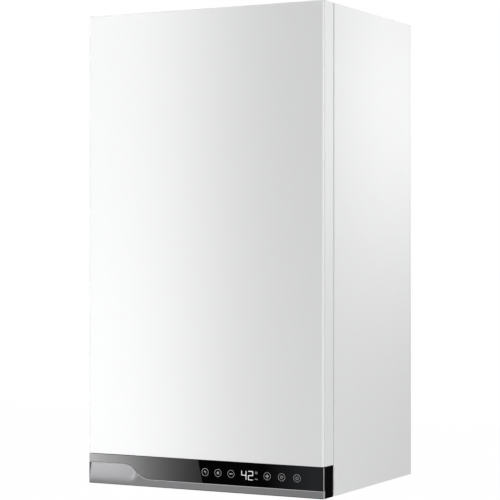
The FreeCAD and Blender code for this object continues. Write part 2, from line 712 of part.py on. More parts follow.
cover_hook = block(
    "cover_hook",
    (f"shelf_drop - {OPENING_HALF}", f"{OPENING_HALF} - shelf_drop"),
    (f"{COVER_REAR} - panel_sheet", COVER_REAR),
    (f"{TOP} - shelf_drop", PANEL_TOP),
)
piece("front_cover", fuse("cover_part", [cover_tray, cover_hook]))

# The control strip: a hollow fascia moulding with closed ends carries three inlays.

INLAY_BACK = f"({FRONT} + inlay_depth)"
DISPLAY_RIGHT = f"({HALF} - display_margin)"
fascia_body = padded(
    "fascia",
    "XZ_Plane",
    [rectangle(f"-{HALF}", HALF, BOTTOM, STRIP_TOP)],
    "cover_return - inlay_depth",
    ("0", COVER_REAR, "0"),
)
add_fillet(
    fascia_body,
    lambda middle, edge: edge.BoundBox.ZLength > 1 and middle.y > -0.01,
    "fascia_edge",
)
fascia_hollow = block(
    "fascia_hollow",
    (f"fascia_wall - {HALF}", f"{HALF} - fascia_wall"),
    (f"{INLAY_BACK} + fascia_wall", COVER_REAR),
    (f"{BOTTOM} + fascia_wall", f"{STRIP_TOP} - fascia_wall"),
)
display_opening = block(
    "display_opening",
    ("2 * fascia_wall", f"{DISPLAY_RIGHT} - 2 * fascia_wall"),
    (INLAY_BACK, f"{INLAY_BACK} + fascia_wall"),
    (f"{BOTTOM} + trim_height + 2 * fascia_wall", f"{STRIP_TOP} - 3 * fascia_wall"),
)
piece("control_fascia", cut("fascia_part", fascia_body, [fascia_hollow, display_opening]))

TRIM_TOP = level("trim_height")
LOBE_TOP = level("lobe_height")
CURVE_RUN = "(scurve_start - scurve_end)"
CURVE_DROP = "(lobe_height - trim_height)"
CURVE_RADIUS = f"(({CURVE_RUN} * {CURVE_RUN} + {CURVE_DROP} * {CURVE_DROP}) / (4 * {CURVE_DROP}))"
CURVE_MIDDLE = ("-(scurve_start + scurve_end) / 2", level("(lobe_height + trim_height) / 2"))
INLAY_THICKNESS = "inlay_depth - trim_proud"

window_outline = [
    ("window_slant - window_left", TRIM_TOP),
    (HALF, TRIM_TOP),
    (HALF, STRIP_TOP),
    ("-window_left", STRIP_TOP),
]
piece("touch_window", padded("window", "XZ_Plane", [window_outline], INLAY_THICKNESS, ("0", INLAY_BACK, "0")))

fade_outline = [
    (f"-{HALF}", LOBE_TOP),
    ("-scurve_start", LOBE_TOP, f"-{CURVE_RADIUS}"),
    (CURVE_MIDDLE[0], CURVE_MIDDLE[1], CURVE_RADIUS),
    ("-scurve_end", TRIM_TOP),
    ("window_slant - window_left - inlay_gap", TRIM_TOP),
    ("-window_left - inlay_gap", STRIP_TOP),
    (f"-{HALF}", STRIP_TOP),
]
piece("fade_panel", padded("fade", "XZ_Plane", [fade_outline], INLAY_THICKNESS, ("0", INLAY_BACK, "0")))

# The silver trim follows the same S-curve; its left lobe is scooped back under the curve.

trim_outline = [
    (f"-{HALF}", BOTTOM),
    (HALF, BOTTOM),
    (HALF, f"{TRIM_TOP} - inlay_gap"),
    ("-scurve_end", f"{TRIM_TOP} - inlay_gap", f"-{CURVE_RADIUS}"),
    (CURVE_MIDDLE[0], f"{CURVE_MIDDLE[1]} - inlay_gap", CURVE_RADIUS),
    ("-scurve_start", f"{LOBE_TOP} - inlay_gap"),
    (f"-{HALF}", f"{LOBE_TOP} - inlay_gap"),
]
trim_body = padded("trim", "XZ_Plane", [trim_outline], "inlay_depth", ("0", INLAY_BACK, "0"))
add_fillet(
    trim_body,
    lambda middle, edge: edge.BoundBox.XLength > number(HALF)
    and middle.y < -number("inlay_depth") + 0.01
    and middle.z < number(BOTTOM) + 0.01,
    "trim_edge",
)
SCOOP_START = "-(scurve_start + scoop_runout / 2)"
scoop_body = doc.addObject("PartDesign::Body", "scoop_body")
scoop_sections = []
for offset, depth in (
    (f"-{HALF}", "scoop_depth"),
    (SCOOP_START, "scoop_depth"),
    (f"{SCOOP_START} + scoop_runout", "scoop_depth / 20"),
):
    section = [
        (FRONT, level("scoop_foot")),
        (FRONT, LOBE_TOP),
        (f"{FRONT} + {depth}", LOBE_TOP),
    ]
    scoop_sections.append(new_sketch(scoop_body, "YZ_Plane", [section], offset))
scoop_loft = scoop_body.newObject("PartDesign::AdditiveLoft", "scoop_loft")
scoop_loft.Profile = scoop_sections[0]
scoop_loft.Sections = scoop_sections[1:]
scoop_loft.Ruled = True
piece("lower_trim", cut("trim_part", trim_body, [scoop_body]))

# The control box folds down about two pins at its lower rear edge.

HINGE_Y = "(-hinge_setback)"
HINGE_Z = level("hinge_height")
TRAY_HALF = "(case_width / 2 - side_front_flange - tray_side_gap)"
TRAY_FRONT = f"({INLAY_BACK} + fascia_wall + display_space)"
TRAY_REAR = "(ear_radius + tray_wall - hinge_setback)"
TRAY_FLOOR = level("fascia_wall")
TRAY_TOP = level("fascia_wall + tray_height")
BOARD_X = (f"board_margin - {TRAY_HALF}", f"{TRAY_HALF} - board_margin")
BOARD_Y = (f"{TRAY_FRONT} + board_margin", f"{TRAY_REAR} - board_margin")
BOARD_Z = f"({TRAY_FLOOR} + tray_wall + board_standoff)"

tray_shell = cut(
    "tray_shell",
    block("tray_outer", (f"-{TRAY_HALF}", TRAY_HALF), (TRAY_FRONT, TRAY_REAR), (TRAY_FLOOR, TRAY_TOP)),
    [block(
        "tray_hollow",
        (f"tray_wall - {TRAY_HALF}", f"{TRAY_HALF} - tray_wall"),
        (f"{TRAY_FRONT} + tray_wall", f"{TRAY_REAR} - tray_wall"),
        (f"{TRAY_FLOOR} + tray_wall", TRAY_TOP),
    )],
)
tray_bosses = [
    rod("ear_right", "ear_radius", (TRAY_HALF, HINGE_Y, HINGE_Z), "ear_length", TO_RIGHT),
    rod("ear_left", "ear_radius", (f"-{TRAY_HALF}", HINGE_Y, HINGE_Z), "ear_length", TO_LEFT),
]
for x in (f"{BOARD_X[0]} + board_post", f"{BOARD_X[1]} - board_post"):
    for y in (f"{BOARD_Y[0]} + board_post", f"{BOARD_Y[1]} - board_post"):
        tray_bosses.append(rod("board_post", "board_post", (x, y, TRAY_FLOOR), "tray_wall + board_standoff"))
ear_bores = []
for x, turn in ((TRAY_HALF, TO_RIGHT), (f"-{TRAY_HALF}", TO_LEFT)):
    ear_bores.append(rod("ear_bore", "hinge_pin + pin_clearance", (x, HINGE_Y, HINGE_Z), "ear_length", turn))
tray_solid = fuse("tray_solid", [tray_shell] + tray_bosses)
piece("control_tray", cut("tray_part", tray_solid, ear_bores))

lid_loops = [rectangle(f"-{TRAY_HALF}", TRAY_HALF, TRAY_FRONT, TRAY_REAR)]
for row in range(int(number("lid_slot_rows"))):
    near = f"{TRAY_REAR} - board_margin - {row} * lid_slot_pitch"
    for side in ("-1", "1"):
        middle = f"{side} * {TRAY_HALF} / 2"
        lid_loops.append(rectangle(
            f"{middle} - lid_slot_length / 2", f"{middle} + lid_slot_length / 2", f"{near} - lid_slot_width", near,
        ))
piece("control_lid", padded("lid", "XY_Plane", lid_loops, "lid_sheet", ("0", "0", TRAY_TOP)))

hinge_sides = []
for sign, turn in (("1", TO_LEFT), ("-1", TO_RIGHT)):
    face = f"{sign} * {INNER}"
    inner_face = f"{sign} * ({INNER} - hinge_plate)"
    low, high = (inner_face, face) if sign == "1" else (face, inner_face)
    plate = block(
        "hinge_plate",
        (low, high),
        (f"{HINGE_Y} - 2 * ear_radius", f"{HINGE_Y} + 2 * ear_radius"),
        (level("fit_gap"), level("hinge_plate_height")),
    )
    pin_length = f"{INNER} - hinge_plate - {TRAY_HALF} - fit_gap"
    pin = rod("hinge_pin", "hinge_pin", (inner_face, HINGE_Y, HINGE_Z), pin_length, turn)
    hinge_sides.append(fuse("hinge_bracket", [plate, pin]))
piece("hinge_brackets", group("hinge_pair", hinge_sides))

piece("main_board", block("board", BOARD_X, BOARD_Y, (BOARD_Z, f"{BOARD_Z} + board_sheet")))
BOARD_TOP = f"({BOARD_Z} + board_sheet)"
components = [block(
    "transformer",
    (f"{BOARD_X[0]} + board_margin", f"{BOARD_X[0]} + board_margin + transformer_side"),
    (f"{BOARD_Y[0]} + board_margin", f"{BOARD_Y[0]} + board_margin + transformer_side"),
    (BOARD_TOP, f"{BOARD_TOP} + transformer_height"),
)]
for index in range(int(number("relay_count"))):
    left = f"{BOARD_X[1]} - board_margin - {index + 1} * 2 * relay_width"
    components.append(block(
        "relay",
        (left, f"{left} + relay_width"),
        (f"{BOARD_Y[1]} - board_margin - relay_length", f"{BOARD_Y[1]} - board_margin"),
        (BOARD_TOP, f"{BOARD_TOP} + relay_height"),
    ))
components.append(rod(
    "capacitor",
    "capacitor_radius",
    ("0", f"({BOARD_Y[0]} + {BOARD_Y[1]}) / 2", BOARD_TOP),
    "capacitor_height",
))
piece("board_components", group("board_parts", components))
piece("display_board", block(
    "display",
    ("0", DISPLAY_RIGHT),
    (f"{INLAY_BACK} + fascia_wall", f"{INLAY_BACK} + fascia_wall + board_sheet"),
    (f"{BOTTOM} + 2 * fascia_wall", f"{STRIP_TOP} - 2 * fascia_wall"),
))

# The pipe plate ties the back panel's flanges together and carries tails, tap and gland.

TAIL_Y = "(-tail_line)"
PLATE_Z = level("plate_height")
PLATE_TOP = level("plate_height + plate_sheet")
PLATE_HALF = f"({INNER} - panel_sheet)"
PLATE_FRONT = "(-tail_line - plate_reach)"
TAP_X = f"(1.5 * {TAIL_PITCH})"
TAILS = [
    (f"-2 * {TAIL_PITCH}", "big_thread", "big_nut"),
    (f"-{TAIL_PITCH}", "small_thread", "small_nut"),
    (f"0 * {TAIL_PITCH}", "big_thread", "big_nut"),
    (TAIL_PITCH, "small_thread", "small_nut"),
    (f"2 * {TAIL_PITCH}", "big_thread", "big_nut"),
]
plate_loops = [rectangle(f"-{PLATE_HALF}", PLATE_HALF, PLATE_FRONT, BACK_FACE)]
for x, thread, flats in TAILS:
    plate_loops.append(("circle", x, TAIL_Y, f"{thread} + fit_gap"))
plate_loops.append(("circle", TAP_X, TAIL_Y, "tap_radius + fit_gap"))
plate_loops.append(("circle", f"-{TAP_X}", TAIL_Y, "gland_radius + fit_gap"))
plate_sheet_body = padded("plate", "XY_Plane", plate_loops, "plate_sheet", ("0", "0", PLATE_Z))
plate_flanges = []
for near, far in ((PLATE_FRONT, f"{PLATE_FRONT} + plate_sheet"), (f"{BACK_FACE} - plate_sheet", BACK_FACE)):
    plate_flanges.append(block(
        "plate_flange", (f"-{PLATE_HALF}", PLATE_HALF), (near, far), (PLATE_Z, f"{PLATE_Z} + plate_flange"),
    ))
piece("pipe_plate", fuse("plate_part", [plate_sheet_body] + plate_flanges))

tail_nuts = []
for x, thread, flats in TAILS:
    nut = hexagon("nut_block", flats, (x, TAIL_Y, f"{PLATE_Z} - nut_height"), "nut_height")
    hole = rod("nut_hole", f"{thread} + nut_play", (x, TAIL_Y, f"{PLATE_Z} - nut_height"), "nut_height")
    tail_nuts.append(cut("nut", nut, [hole]))
piece("tail_nuts", group("nuts", tail_nuts))


def tail_shapes(x, thread, flats):
    """A threaded tail with its hexagon collar, and the bore that opens its end."""
    foot = level("-tail_drop")
    thread_top = f"({PLATE_Z} - nut_height - thread_relief)"
    end = rod("tail_thread", thread, (x, TAIL_Y, foot), f"{thread_top} - {foot}")
    neck = rod("tail_neck", f"{thread} - thread_relief", (x, TAIL_Y, thread_top), f"{PLATE_TOP} - {thread_top}")
    collar = hexagon("tail_collar", flats, (x, TAIL_Y, PLATE_TOP), "collar_height")
    bore = rod("tail_bore", f"{thread} - tail_wall", (x, TAIL_Y, foot), "bore_depth")
    return [end, neck, collar], bore


def riser(x, radius, top):
    """An upright of a manifold, from its collar to its top."""
    return rod("riser", radius, (x, TAIL_Y, f"{PLATE_TOP} + collar_height"), f"{top} - {PLATE_TOP} - collar_height")


# The manifolds: two risers each, a bridge between them and bosses for what they carry.

EXCHANGER_BACK = "(-tail_line - exchanger_offset)"
EXCHANGER_MIDDLE = level("exchanger_level + exchanger_height / 2")
BRIDGE_Z = level("bridge_level")


def manifold(name, sign, outer_top, extra):
    """A brass manifold on the left (-1) or right (1) of the gas tail."""
    outer_x = f"{sign} * 2 * {TAIL_PITCH}"
    inner_x = f"{sign} * {TAIL_PITCH}"
    outer_tail, outer_bore = tail_shapes(outer_x, "big_thread", "big_nut")
    inner_tail, inner_bore = tail_shapes(inner_x, "small_thread", "small_nut")
    start = f"{'-2' if sign == '-1' else '1'} * {TAIL_PITCH}"
    shapes = outer_tail + inner_tail + [
        riser(outer_x, "riser_radius", outer_top),
        riser(inner_x, "inner_riser", level("inner_riser_level")),
        rod("bridge", "bridge_radius", (start, TAIL_Y, BRIDGE_Z), TAIL_PITCH, TO_RIGHT),
        rod("port", "exchanger_port", (inner_x, TAIL_Y, EXCHANGER_MIDDLE), "exchanger_offset", TO_FRONT),
    ]
    return piece(name, cut(f"{name}_part", fuse(f"{name}_solid", shapes + extra), [outer_bore, inner_bore]))


SENSOR_Z = level("sensor_foot")
manifold("flow_manifold", "-1", level("flow_riser_level"), [
    rod("sensor_boss", "boss_radius", (f"-{TAP_X}", TAIL_Y, BRIDGE_Z), "sensor_foot - bridge_level"),
])
SAFETY_Z = level("safety_level")
SAFETY_BACK = f"({TAIL_Y} - exchanger_offset)"
VESSEL_BOSS_Y = f"({TAIL_Y} + exchanger_offset)"
manifold("return_manifold", "1", level("pump_seat_level"), [
    rod("safety_boss", "boss_radius", (f"2 * {TAIL_PITCH}", TAIL_Y, SAFETY_Z), "exchanger_offset", TO_FRONT),
    rod("tap_boss", "boss_radius", (TAP_X, TAIL_Y, level("tap_seat_level")), "bridge_level - tap_seat_level"),
    rod("vessel_boss", "boss_radius", (TAP_X, TAIL_Y, BRIDGE_Z), "exchanger_offset", TO_BACK),
])

# The plate heat exchanger: a stack of rounded plates around a slightly smaller core.


def rounded_plate(rim):
    """The outline of an exchanger plate, drawn in by a rim."""
    half = f"(2 * {TAIL_PITCH} - motor_radius - exchanger_gap - {rim})"
    low = f"({EXCHANGER_MIDDLE} - exchanger_height / 2 + {rim})"
    high = f"({EXCHANGER_MIDDLE} + exchanger_height / 2 - {rim})"
    corner = f"(exchanger_corner - {rim})"
    return [
        (f"{corner} - {half}", low),
        (f"{half} - {corner}", low, corner),
        (half, f"{low} + {corner}"),
        (half, f"{high} - {corner}", corner),
        (f"{half} - {corner}", high),
        (f"{corner} - {half}", high, corner),
        (f"-{half}", f"{high} - {corner}"),
        (f"-{half}", f"{low} + {corner}", corner),
    ]


exchanger = doc.addObject("PartDesign::Body", "exchanger_body")
add_pad(exchanger, "XZ_Plane", [rounded_plate("exchanger_rim")], "exchanger_stack")
one_plate = add_pad(exchanger, "XZ_Plane", [rounded_plate("0")], "exchanger_stack / exchanger_plates / 2")
doc.recompute()
plates = exchanger.newObject("PartDesign::LinearPattern", "exchanger_pattern")
plates.Originals = [one_plate]
plates.Direction = (one_plate.Profile[0], ["N_Axis"])
exchanger.Tip = plates
bind(
    plates,
    Length="exchanger_stack - exchanger_stack / exchanger_plates / 2",
    Occurrences="exchanger_plates",
)
place(exchanger, ("0", EXCHANGER_BACK, "0"))
piece("plate_heat_exchanger", exchanger)

# The pump: a volute on the return riser, a ribbed motor in front and a terminal box on top.

PUMP_X = f"(2 * {TAIL_PITCH})"
PUMP_Z = level("pump_level")
VOLUTE_BACK = f"({TAIL_Y} + volute_width / 2)"
VOLUTE_FRONT = f"({TAIL_Y} - volute_width / 2)"
volute_disc = turned(
    "volute_disc",
    [
        ("0", "0"),
        ("volute_radius - volute_edge", "0"),
        ("volute_radius", "volute_edge"),
        ("volute_radius", "volute_width - volute_edge"),
        ("volute_radius - volute_edge", "volute_width"),
        ("0", "volute_width"),
    ],
    (PUMP_X, VOLUTE_BACK, PUMP_Z),
    TO_FRONT,
)
PUMP_OUTLET = level("pump_level + volute_radius + pump_port_rise")
VENT_X = f"({PUMP_X} - vent_offset)"
volute_ports = [
    rod("suction", "pump_port", (PUMP_X, TAIL_Y, level("pump_seat_level")), "pump_level - pump_seat_level"),
    rod("outlet", "pump_port", (PUMP_X, TAIL_Y, PUMP_Z), "volute_radius + pump_port_rise"),
    rod("vent_boss", "boss_radius", (VENT_X, TAIL_Y, PUMP_Z), "vent_level - pump_level"),
]
piece("pump_volute", fuse("volute_part", [volute_disc] + volute_ports))

MOTOR_RIB = "((motor_length - 2 * motor_cap) / (2 * motor_ribs + 1))"
motor_profile = [("0", "0"), ("motor_radius", "0")]
for rib in range(int(number("motor_ribs"))):
    start = f"motor_cap + {2 * rib + 1} * {MOTOR_RIB}"
    motor_profile += [
        ("motor_radius", start),
        ("motor_radius - motor_rib_depth", start),
        ("motor_radius - motor_rib_depth", f"{start} + {MOTOR_RIB}"),
        ("motor_radius", f"{start} + {MOTOR_RIB}"),
    ]
motor_profile += [
    ("motor_radius", "motor_length - motor_cap / 2"),
    ("motor_radius - motor_cap / 2", "motor_length"),
    ("0", "motor_length"),
]
piece("pump_motor", turned("motor", motor_profile, (PUMP_X, VOLUTE_FRONT, PUMP_Z), TO_FRONT))
TERMINAL_FRONT = f"({VOLUTE_FRONT} - motor_length / 2 - terminal_length / 2)"
terminal_block = block(
    "terminal_block",
    (f"{PUMP_X} - terminal_width / 2", f"{PUMP_X} + terminal_width / 2"),
    (TERMINAL_FRONT, f"{TERMINAL_FRONT} + terminal_length"),
    (PUMP_Z, f"{PUMP_Z} + motor_radius + terminal_height"),
)
terminal_saddle = rod(
    "terminal_saddle", "motor_radius", (PUMP_X, VOLUTE_FRONT, PUMP_Z), "motor_length", TO_FRONT,
)
piece("pump_terminal_box", cut("terminal_part", terminal_block, [terminal_saddle]))
piece("air_vent", turned(
    "vent",
    [
        ("0", "0"),
        ("boss_radius", "0"),
        ("boss_radius", "vent_height / 6"),
        ("vent_radius", "vent_height / 4"),
        ("vent_radius", "vent_height * 3 / 4"),
        ("boss_radius", "vent_height * 5 / 6"),
        ("boss_radius / 2", "vent_height * 5 / 6"),
        ("boss_radius / 2", "vent_height"),
        ("0", "vent_height"),
    ],
    (VENT_X, TAIL_Y, level("vent_level")),
))

# Fittings on the manifolds: diverter actuator, pressure sensor and flow sensor.

ACTUATOR_X = f"(-{TAIL_PITCH})"
actuator_case = padded(
    "actuator_case",
    "XY_Plane",
    [rectangle("-actuator_side / 2", "actuator_side / 2", "-actuator_side / 2", "actuator_side / 2")],
    "actuator_height",
    (ACTUATOR_X, TAIL_Y, level("inner_riser_level + actuator_neck")),
)
add_fillet(
    actuator_case,
    lambda middle, edge: middle.z > 1 and edge.BoundBox.DiagonalLength > 1,
    "actuator_edge",
)
actuator_neck = rod(
    "actuator_neck", "inner_riser", (ACTUATOR_X, TAIL_Y, level("inner_riser_level")), "actuator_neck",
)
piece("diverter_actuator", fuse("actuator_part", [actuator_case, actuator_neck]))
piece("pressure_sensor", turned(
    "pressure",
    [
        ("0", "0"),
        ("sensor_radius", "0"),
        ("sensor_radius", "sensor_height / 3"),
        ("sensor_radius * 3 / 4", "sensor_height / 3"),
        ("sensor_radius * 3 / 4", "sensor_height * 4 / 5"),
        ("sensor_radius / 2", "sensor_height"),
        ("0", "sensor_height"),
    ],
    (f"-{TAP_X}", TAIL_Y, SENSOR_Z),
))
piece("flow_sensor", turned(
    "turbine",
    [
        ("0", "0"),
        ("turbine_radius", "0"),
        ("turbine_radius", "turbine_height / 3"),
        ("turbine_radius * 4 / 5", "turbine_height / 2"),
        ("turbine_radius * 4 / 5", "turbine_height * 5 / 6"),
        ("turbine_radius / 2", "turbine_height"),
        ("0", "turbine_height"),
    ],
    (TAIL_PITCH, TAIL_Y, level("inner_riser_level")),
))

# Gas side: tail, valve with two coils, and the pipe to the burner.

VALVE_Z = level("valve_bottom")
gas_tail, gas_bore = tail_shapes(f"0 * {TAIL_PITCH}", "big_thread", "big_nut")
GAS_INLET = f"({VALVE_Z} - valve_port_rise)"
gas_tail.append(rod(
    "gas_riser",
    "gas_pipe_radius",
    ("0", TAIL_Y, f"{PLATE_TOP} + collar_height"),
    f"{GAS_INLET} - {PLATE_TOP} - collar_height",
))
piece("gas_tail", cut("gas_tail_part", fuse("gas_tail_solid", gas_tail), [gas_bore]))

VALVE_SIDE = "(valve_half_width - valve_chamfer)"
VALVE_FLANK = "(valve_half_depth - valve_chamfer)"
valve_outline = [
    (f"-{VALVE_SIDE}", "-valve_half_depth"),
    (VALVE_SIDE, "-valve_half_depth"),
    ("valve_half_width", f"-{VALVE_FLANK}"),
    ("valve_half_width", VALVE_FLANK),
    (VALVE_SIDE, "valve_half_depth"),
    (f"-{VALVE_SIDE}", "valve_half_depth"),
    ("-valve_half_width", VALVE_FLANK),
    ("-valve_half_width", f"-{VALVE_FLANK}"),
]
valve_case = padded("valve_case", "XY_Plane", [valve_outline], "valve_height", ("0", TAIL_Y, VALVE_Z))
valve_ports = rod(
    "valve_ports", "valve_port", ("0", TAIL_Y, GAS_INLET), "valve_height + 2 * valve_port_rise",
)
VALVE_FRONT = f"({TAIL_Y} - valve_half_depth)"
piece("gas_valve", fuse("valve_part", [valve_case, valve_ports]))
coils = []
for sign in ("-1", "1"):
    coils.append(turned(
        "coil",
        [
            ("0", "0"),
            ("coil_radius", "0"),
            ("coil_radius", "coil_length * 5 / 6"),
            ("coil_radius / 2", "coil_length * 5 / 6"),
            ("coil_radius / 2", "coil_length"),
            ("0", "coil_length"),
        ],
        (f"{sign} * coil_offset", VALVE_FRONT, level("valve_bottom + valve_height / 2")),
        TO_FRONT,
    ))
piece("gas_coils", group("coil_pair", coils))

CHAMBER_Z = level("chamber_level")
CHAMBER_FLOOR = level("chamber_level + chamber_sheet")
MANIFOLD_Y = f"({CORE_FRONT} - injector_line)"
MANIFOLD_Z = f"({CHAMBER_FLOOR} + manifold_rise)"
GAS_OUTLET = f"({VALVE_Z} + valve_height + valve_port_rise)"
piece("gas_pipe", bent_tube(
    "gas_run",
    [
        ("0", TAIL_Y, GAS_OUTLET),
        ("0", TAIL_Y, level("gas_run_level")),
        ("0", MANIFOLD_Y, level("gas_run_level")),
        ("0", MANIFOLD_Y, f"{MANIFOLD_Z} - manifold_radius"),
    ],
    "gas_pipe_radius",
    "gas_bend",
    "pipe_wall",
))

# The sealed chamber: a sheet box, open at the front, with a flange behind the side panels' flanges.

CHAMBER_HALF = "(case_width / 2 - chamber_side_gap)"
FLANGE_BACK = f"({CASE_FRONT} + panel_sheet + chamber_sheet)"
chamber_outer = block(
    "chamber_outer",
    (f"-{CHAMBER_HALF}", CHAMBER_HALF), (CHAMBER_FRONT, "-chamber_rear"), (CHAMBER_Z, CHAMBER_TOP),
)
chamber_rim = block(
    "chamber_rim",
    (f"-{INNER}", INNER),
    (CHAMBER_FRONT, FLANGE_BACK),
    (f"{CHAMBER_Z} - chamber_flange", f"{CHAMBER_TOP} + chamber_flange"),
)
chamber_hollow = block(
    "chamber_hollow",
    (f"chamber_sheet - {CHAMBER_HALF}", f"{CHAMBER_HALF} - chamber_sheet"),
    (CHAMBER_FRONT, "-chamber_rear - chamber_sheet"),
    (CHAMBER_FLOOR, f"{CHAMBER_TOP} - chamber_sheet"),
)
chamber_holes = [rod(
    "flue_hole", "air_radius - air_wall", ("0", FLUE_LINE, f"{CHAMBER_TOP} - chamber_sheet"), "chamber_sheet",
)]
for x, y, radius in (
    (f"-2 * {TAIL_PITCH}", TAIL_Y, "water_pipe_radius"),
    (f"2 * {TAIL_PITCH}", TAIL_Y, "water_pipe_radius"),
    ("0", MANIFOLD_Y, "gas_pipe_radius"),
):
    chamber_holes.append(rod("pipe_hole", f"{radius} + pipe_hole_play", (x, y, CHAMBER_Z), "chamber_sheet"))
chamber_solid = fuse("chamber_solid", [chamber_outer, chamber_rim])
piece("chamber_box", cut("chamber_part", chamber_solid, [chamber_hollow] + chamber_holes))

COVER_PLATE_HALF = "(case_width / 2 - side_front_flange - plate_cover_gap)"
COVER_PLATE_LOW = f"({CHAMBER_Z} - chamber_flange)"
COVER_PLATE_HIGH = f"({CHAMBER_TOP} + chamber_flange / 2)"
GASKET_FRONT = f"({CHAMBER_FRONT} - gasket_depth)"
PLATE_FACE = f"({GASKET_FRONT} - plate_cover_sheet)"
SIGHT_Z = f"({CHAMBER_Z} + sight_height)"


def cover_frame(inset):
    """A rectangle drawn in from the edge of the chamber's front plate."""
    return rectangle(
        f"({inset}) - {COVER_PLATE_HALF}",
        f"{COVER_PLATE_HALF} - ({inset})",
        f"{COVER_PLATE_LOW} + ({inset})",
        f"{COVER_PLATE_HIGH} - ({inset})",
    )


piece("chamber_gasket", padded(
    "gasket", "XZ_Plane", [cover_frame("0"), cover_frame("gasket_width")], "gasket_depth", ("0", CHAMBER_FRONT, "0"),
))
plate_cover = padded(
    "plate_cover",
    "XZ_Plane",
    [cover_frame("0"), ("circle", "-sight_left", SIGHT_Z, "sight_radius / 2")],
    "plate_cover_sheet",
    ("0", GASKET_FRONT, "0"),
)
rib_frame = [cover_frame("rib_inset"), cover_frame("rib_inset + rib_width")]
add_pad(plate_cover, "XZ_Plane", rib_frame, "rib_height", "plate_cover_sheet")
piece("chamber_cover", plate_cover)
piece("sight_glass", turned(
    "sight",
    [
        ("0", "0"),
        ("sight_radius", "0"),
        ("sight_radius", "sight_depth * 3 / 4"),
        ("sight_radius * 7 / 8", "sight_depth"),
        ("sight_radius * 5 / 8", "sight_depth"),
        ("sight_radius * 5 / 8", "sight_depth / 2"),
        ("0", "sight_depth / 2"),
    ],
    ("-sight_left", PLATE_FACE, SIGHT_Z),
    TO_FRONT,
))
screw_heads = []
SCREW_X = f"({COVER_PLATE_HALF} - gasket_width)"
SCREW_LOW = f"({COVER_PLATE_LOW} + gasket_width)"
SCREW_MIDDLE = f"(({COVER_PLATE_LOW} + {COVER_PLATE_HIGH}) / 2)"
SCREW_HIGH = f"({COVER_PLATE_HIGH} - gasket_width)"
screw_places = [("0", SCREW_LOW), ("0", SCREW_HIGH)]
for z in (SCREW_LOW, SCREW_MIDDLE, SCREW_HIGH):
    screw_places += [(f"-{SCREW_X}", z), (SCREW_X, z)]
for x, z in screw_places:
    screw_heads.append(turned(
        "screw_head",
        [
            ("0", "0"),
            ("screw_radius", "0"),
            ("screw_radius", "screw_height / 2"),
            ("screw_radius * 2 / 3", "screw_height"),
            ("0", "screw_height"),
        ],
        (x, PLATE_FACE, z),
        TO_FRONT,
    ))
piece("chamber_screws", group("screws", screw_heads))

# Inside the chamber: the burner stands on the floor, then liner, heat exchanger and hood stand on it.

CORE_HALF = f"(2 * {TAIL_PITCH} - pipe_run - end_box)"
BURNER_TOP = f"({CHAMBER_FLOOR} + burner_height)"
BLADE_PITCH = f"((2 * {CORE_HALF} - blade_width) / (burner_blades - 1))"
blade_outline = [
    (CORE_FRONT, CHAMBER_FLOOR),
    (f"{CORE_FRONT} + {CORE_DEPTH} / 4", CHAMBER_FLOOR),
    (f"{CORE_BACK} - {CORE_DEPTH} / 6", f"{CHAMBER_FLOOR} + burner_height / 3"),
    (CORE_BACK, f"{CHAMBER_FLOOR} + burner_height / 2"),
    (CORE_BACK, BURNER_TOP),
    (CORE_FRONT, BURNER_TOP),
]
blades = doc.addObject("PartDesign::Body", "blades_body")
blade = add_pad(blades, "YZ_Plane", [blade_outline], "blade_width")
doc.recompute()
blade_row = blades.newObject("PartDesign::LinearPattern", "blade_row")
blade_row.Originals = [blade]
blade_row.Direction = (blade.Profile[0], ["N_Axis"])
blades.Tip = blade_row
bind(blade_row, Length=f"2 * {CORE_HALF} - blade_width", Occurrences="burner_blades")
place(blades, (f"-{CORE_HALF}", "0", "0"))
RAIL_LOW = f"({BURNER_TOP} - blade_rail_height)"
burner_rails = [
    block("front_rail", (f"-{CORE_HALF}", CORE_HALF), (f"{CORE_FRONT} - blade_rail", CORE_FRONT), (RAIL_LOW, BURNER_TOP)),
    block("back_rail", (f"-{CORE_HALF}", CORE_HALF), (CORE_BACK, f"{CORE_BACK} + blade_rail"), (RAIL_LOW, BURNER_TOP)),
]
piece("burner", fuse("burner_part", [blades] + burner_rails))

manifold_bar = rod(
    "manifold_bar", "manifold_radius", (f"-{CORE_HALF}", MANIFOLD_Y, MANIFOLD_Z), f"2 * {CORE_HALF}", TO_RIGHT,
)
injectors = []
for index in range(int(number("burner_blades"))):
    x = f"{index} * {BLADE_PITCH} + blade_width / 2 - {CORE_HALF}"
    injectors.append(rod("injector", "injector_radius", (x, MANIFOLD_Y, MANIFOLD_Z), "injector_length", TO_BACK))
manifold_feet = []
for sign in ("-1", "1"):
    middle = f"{sign} * ({CORE_HALF} - manifold_radius)"
    manifold_feet.append(block(
        "manifold_foot",
        (f"{middle} - injector_radius", f"{middle} + injector_radius"),
        (f"{MANIFOLD_Y} - injector_radius", f"{MANIFOLD_Y} + injector_radius"),
        (CHAMBER_FLOOR, MANIFOLD_Z),
    ))
piece("burner_manifold", fuse("manifold_part", [manifold_bar] + injectors + manifold_feet))

electrodes = []
for sign in ("-1", "1"):
    electrodes.append(turned(
        "electrode",
        [
            ("0", "0"),
            ("ceramic_radius", "0"),
            ("ceramic_radius", "ceramic_height"),
            ("electrode_tip", "ceramic_height"),
            ("electrode_tip", "electrode_height"),
            ("0", "electrode_height"),
        ],
        (
            f"{sign} * (round(electrode_offset / {BLADE_PITCH}) - 0.5) * {BLADE_PITCH}",
            f"{CORE_FRONT} + blade_rail",
            BURNER_TOP,
        ),
    ))
piece("electrodes", group("electrode_pair", electrodes))

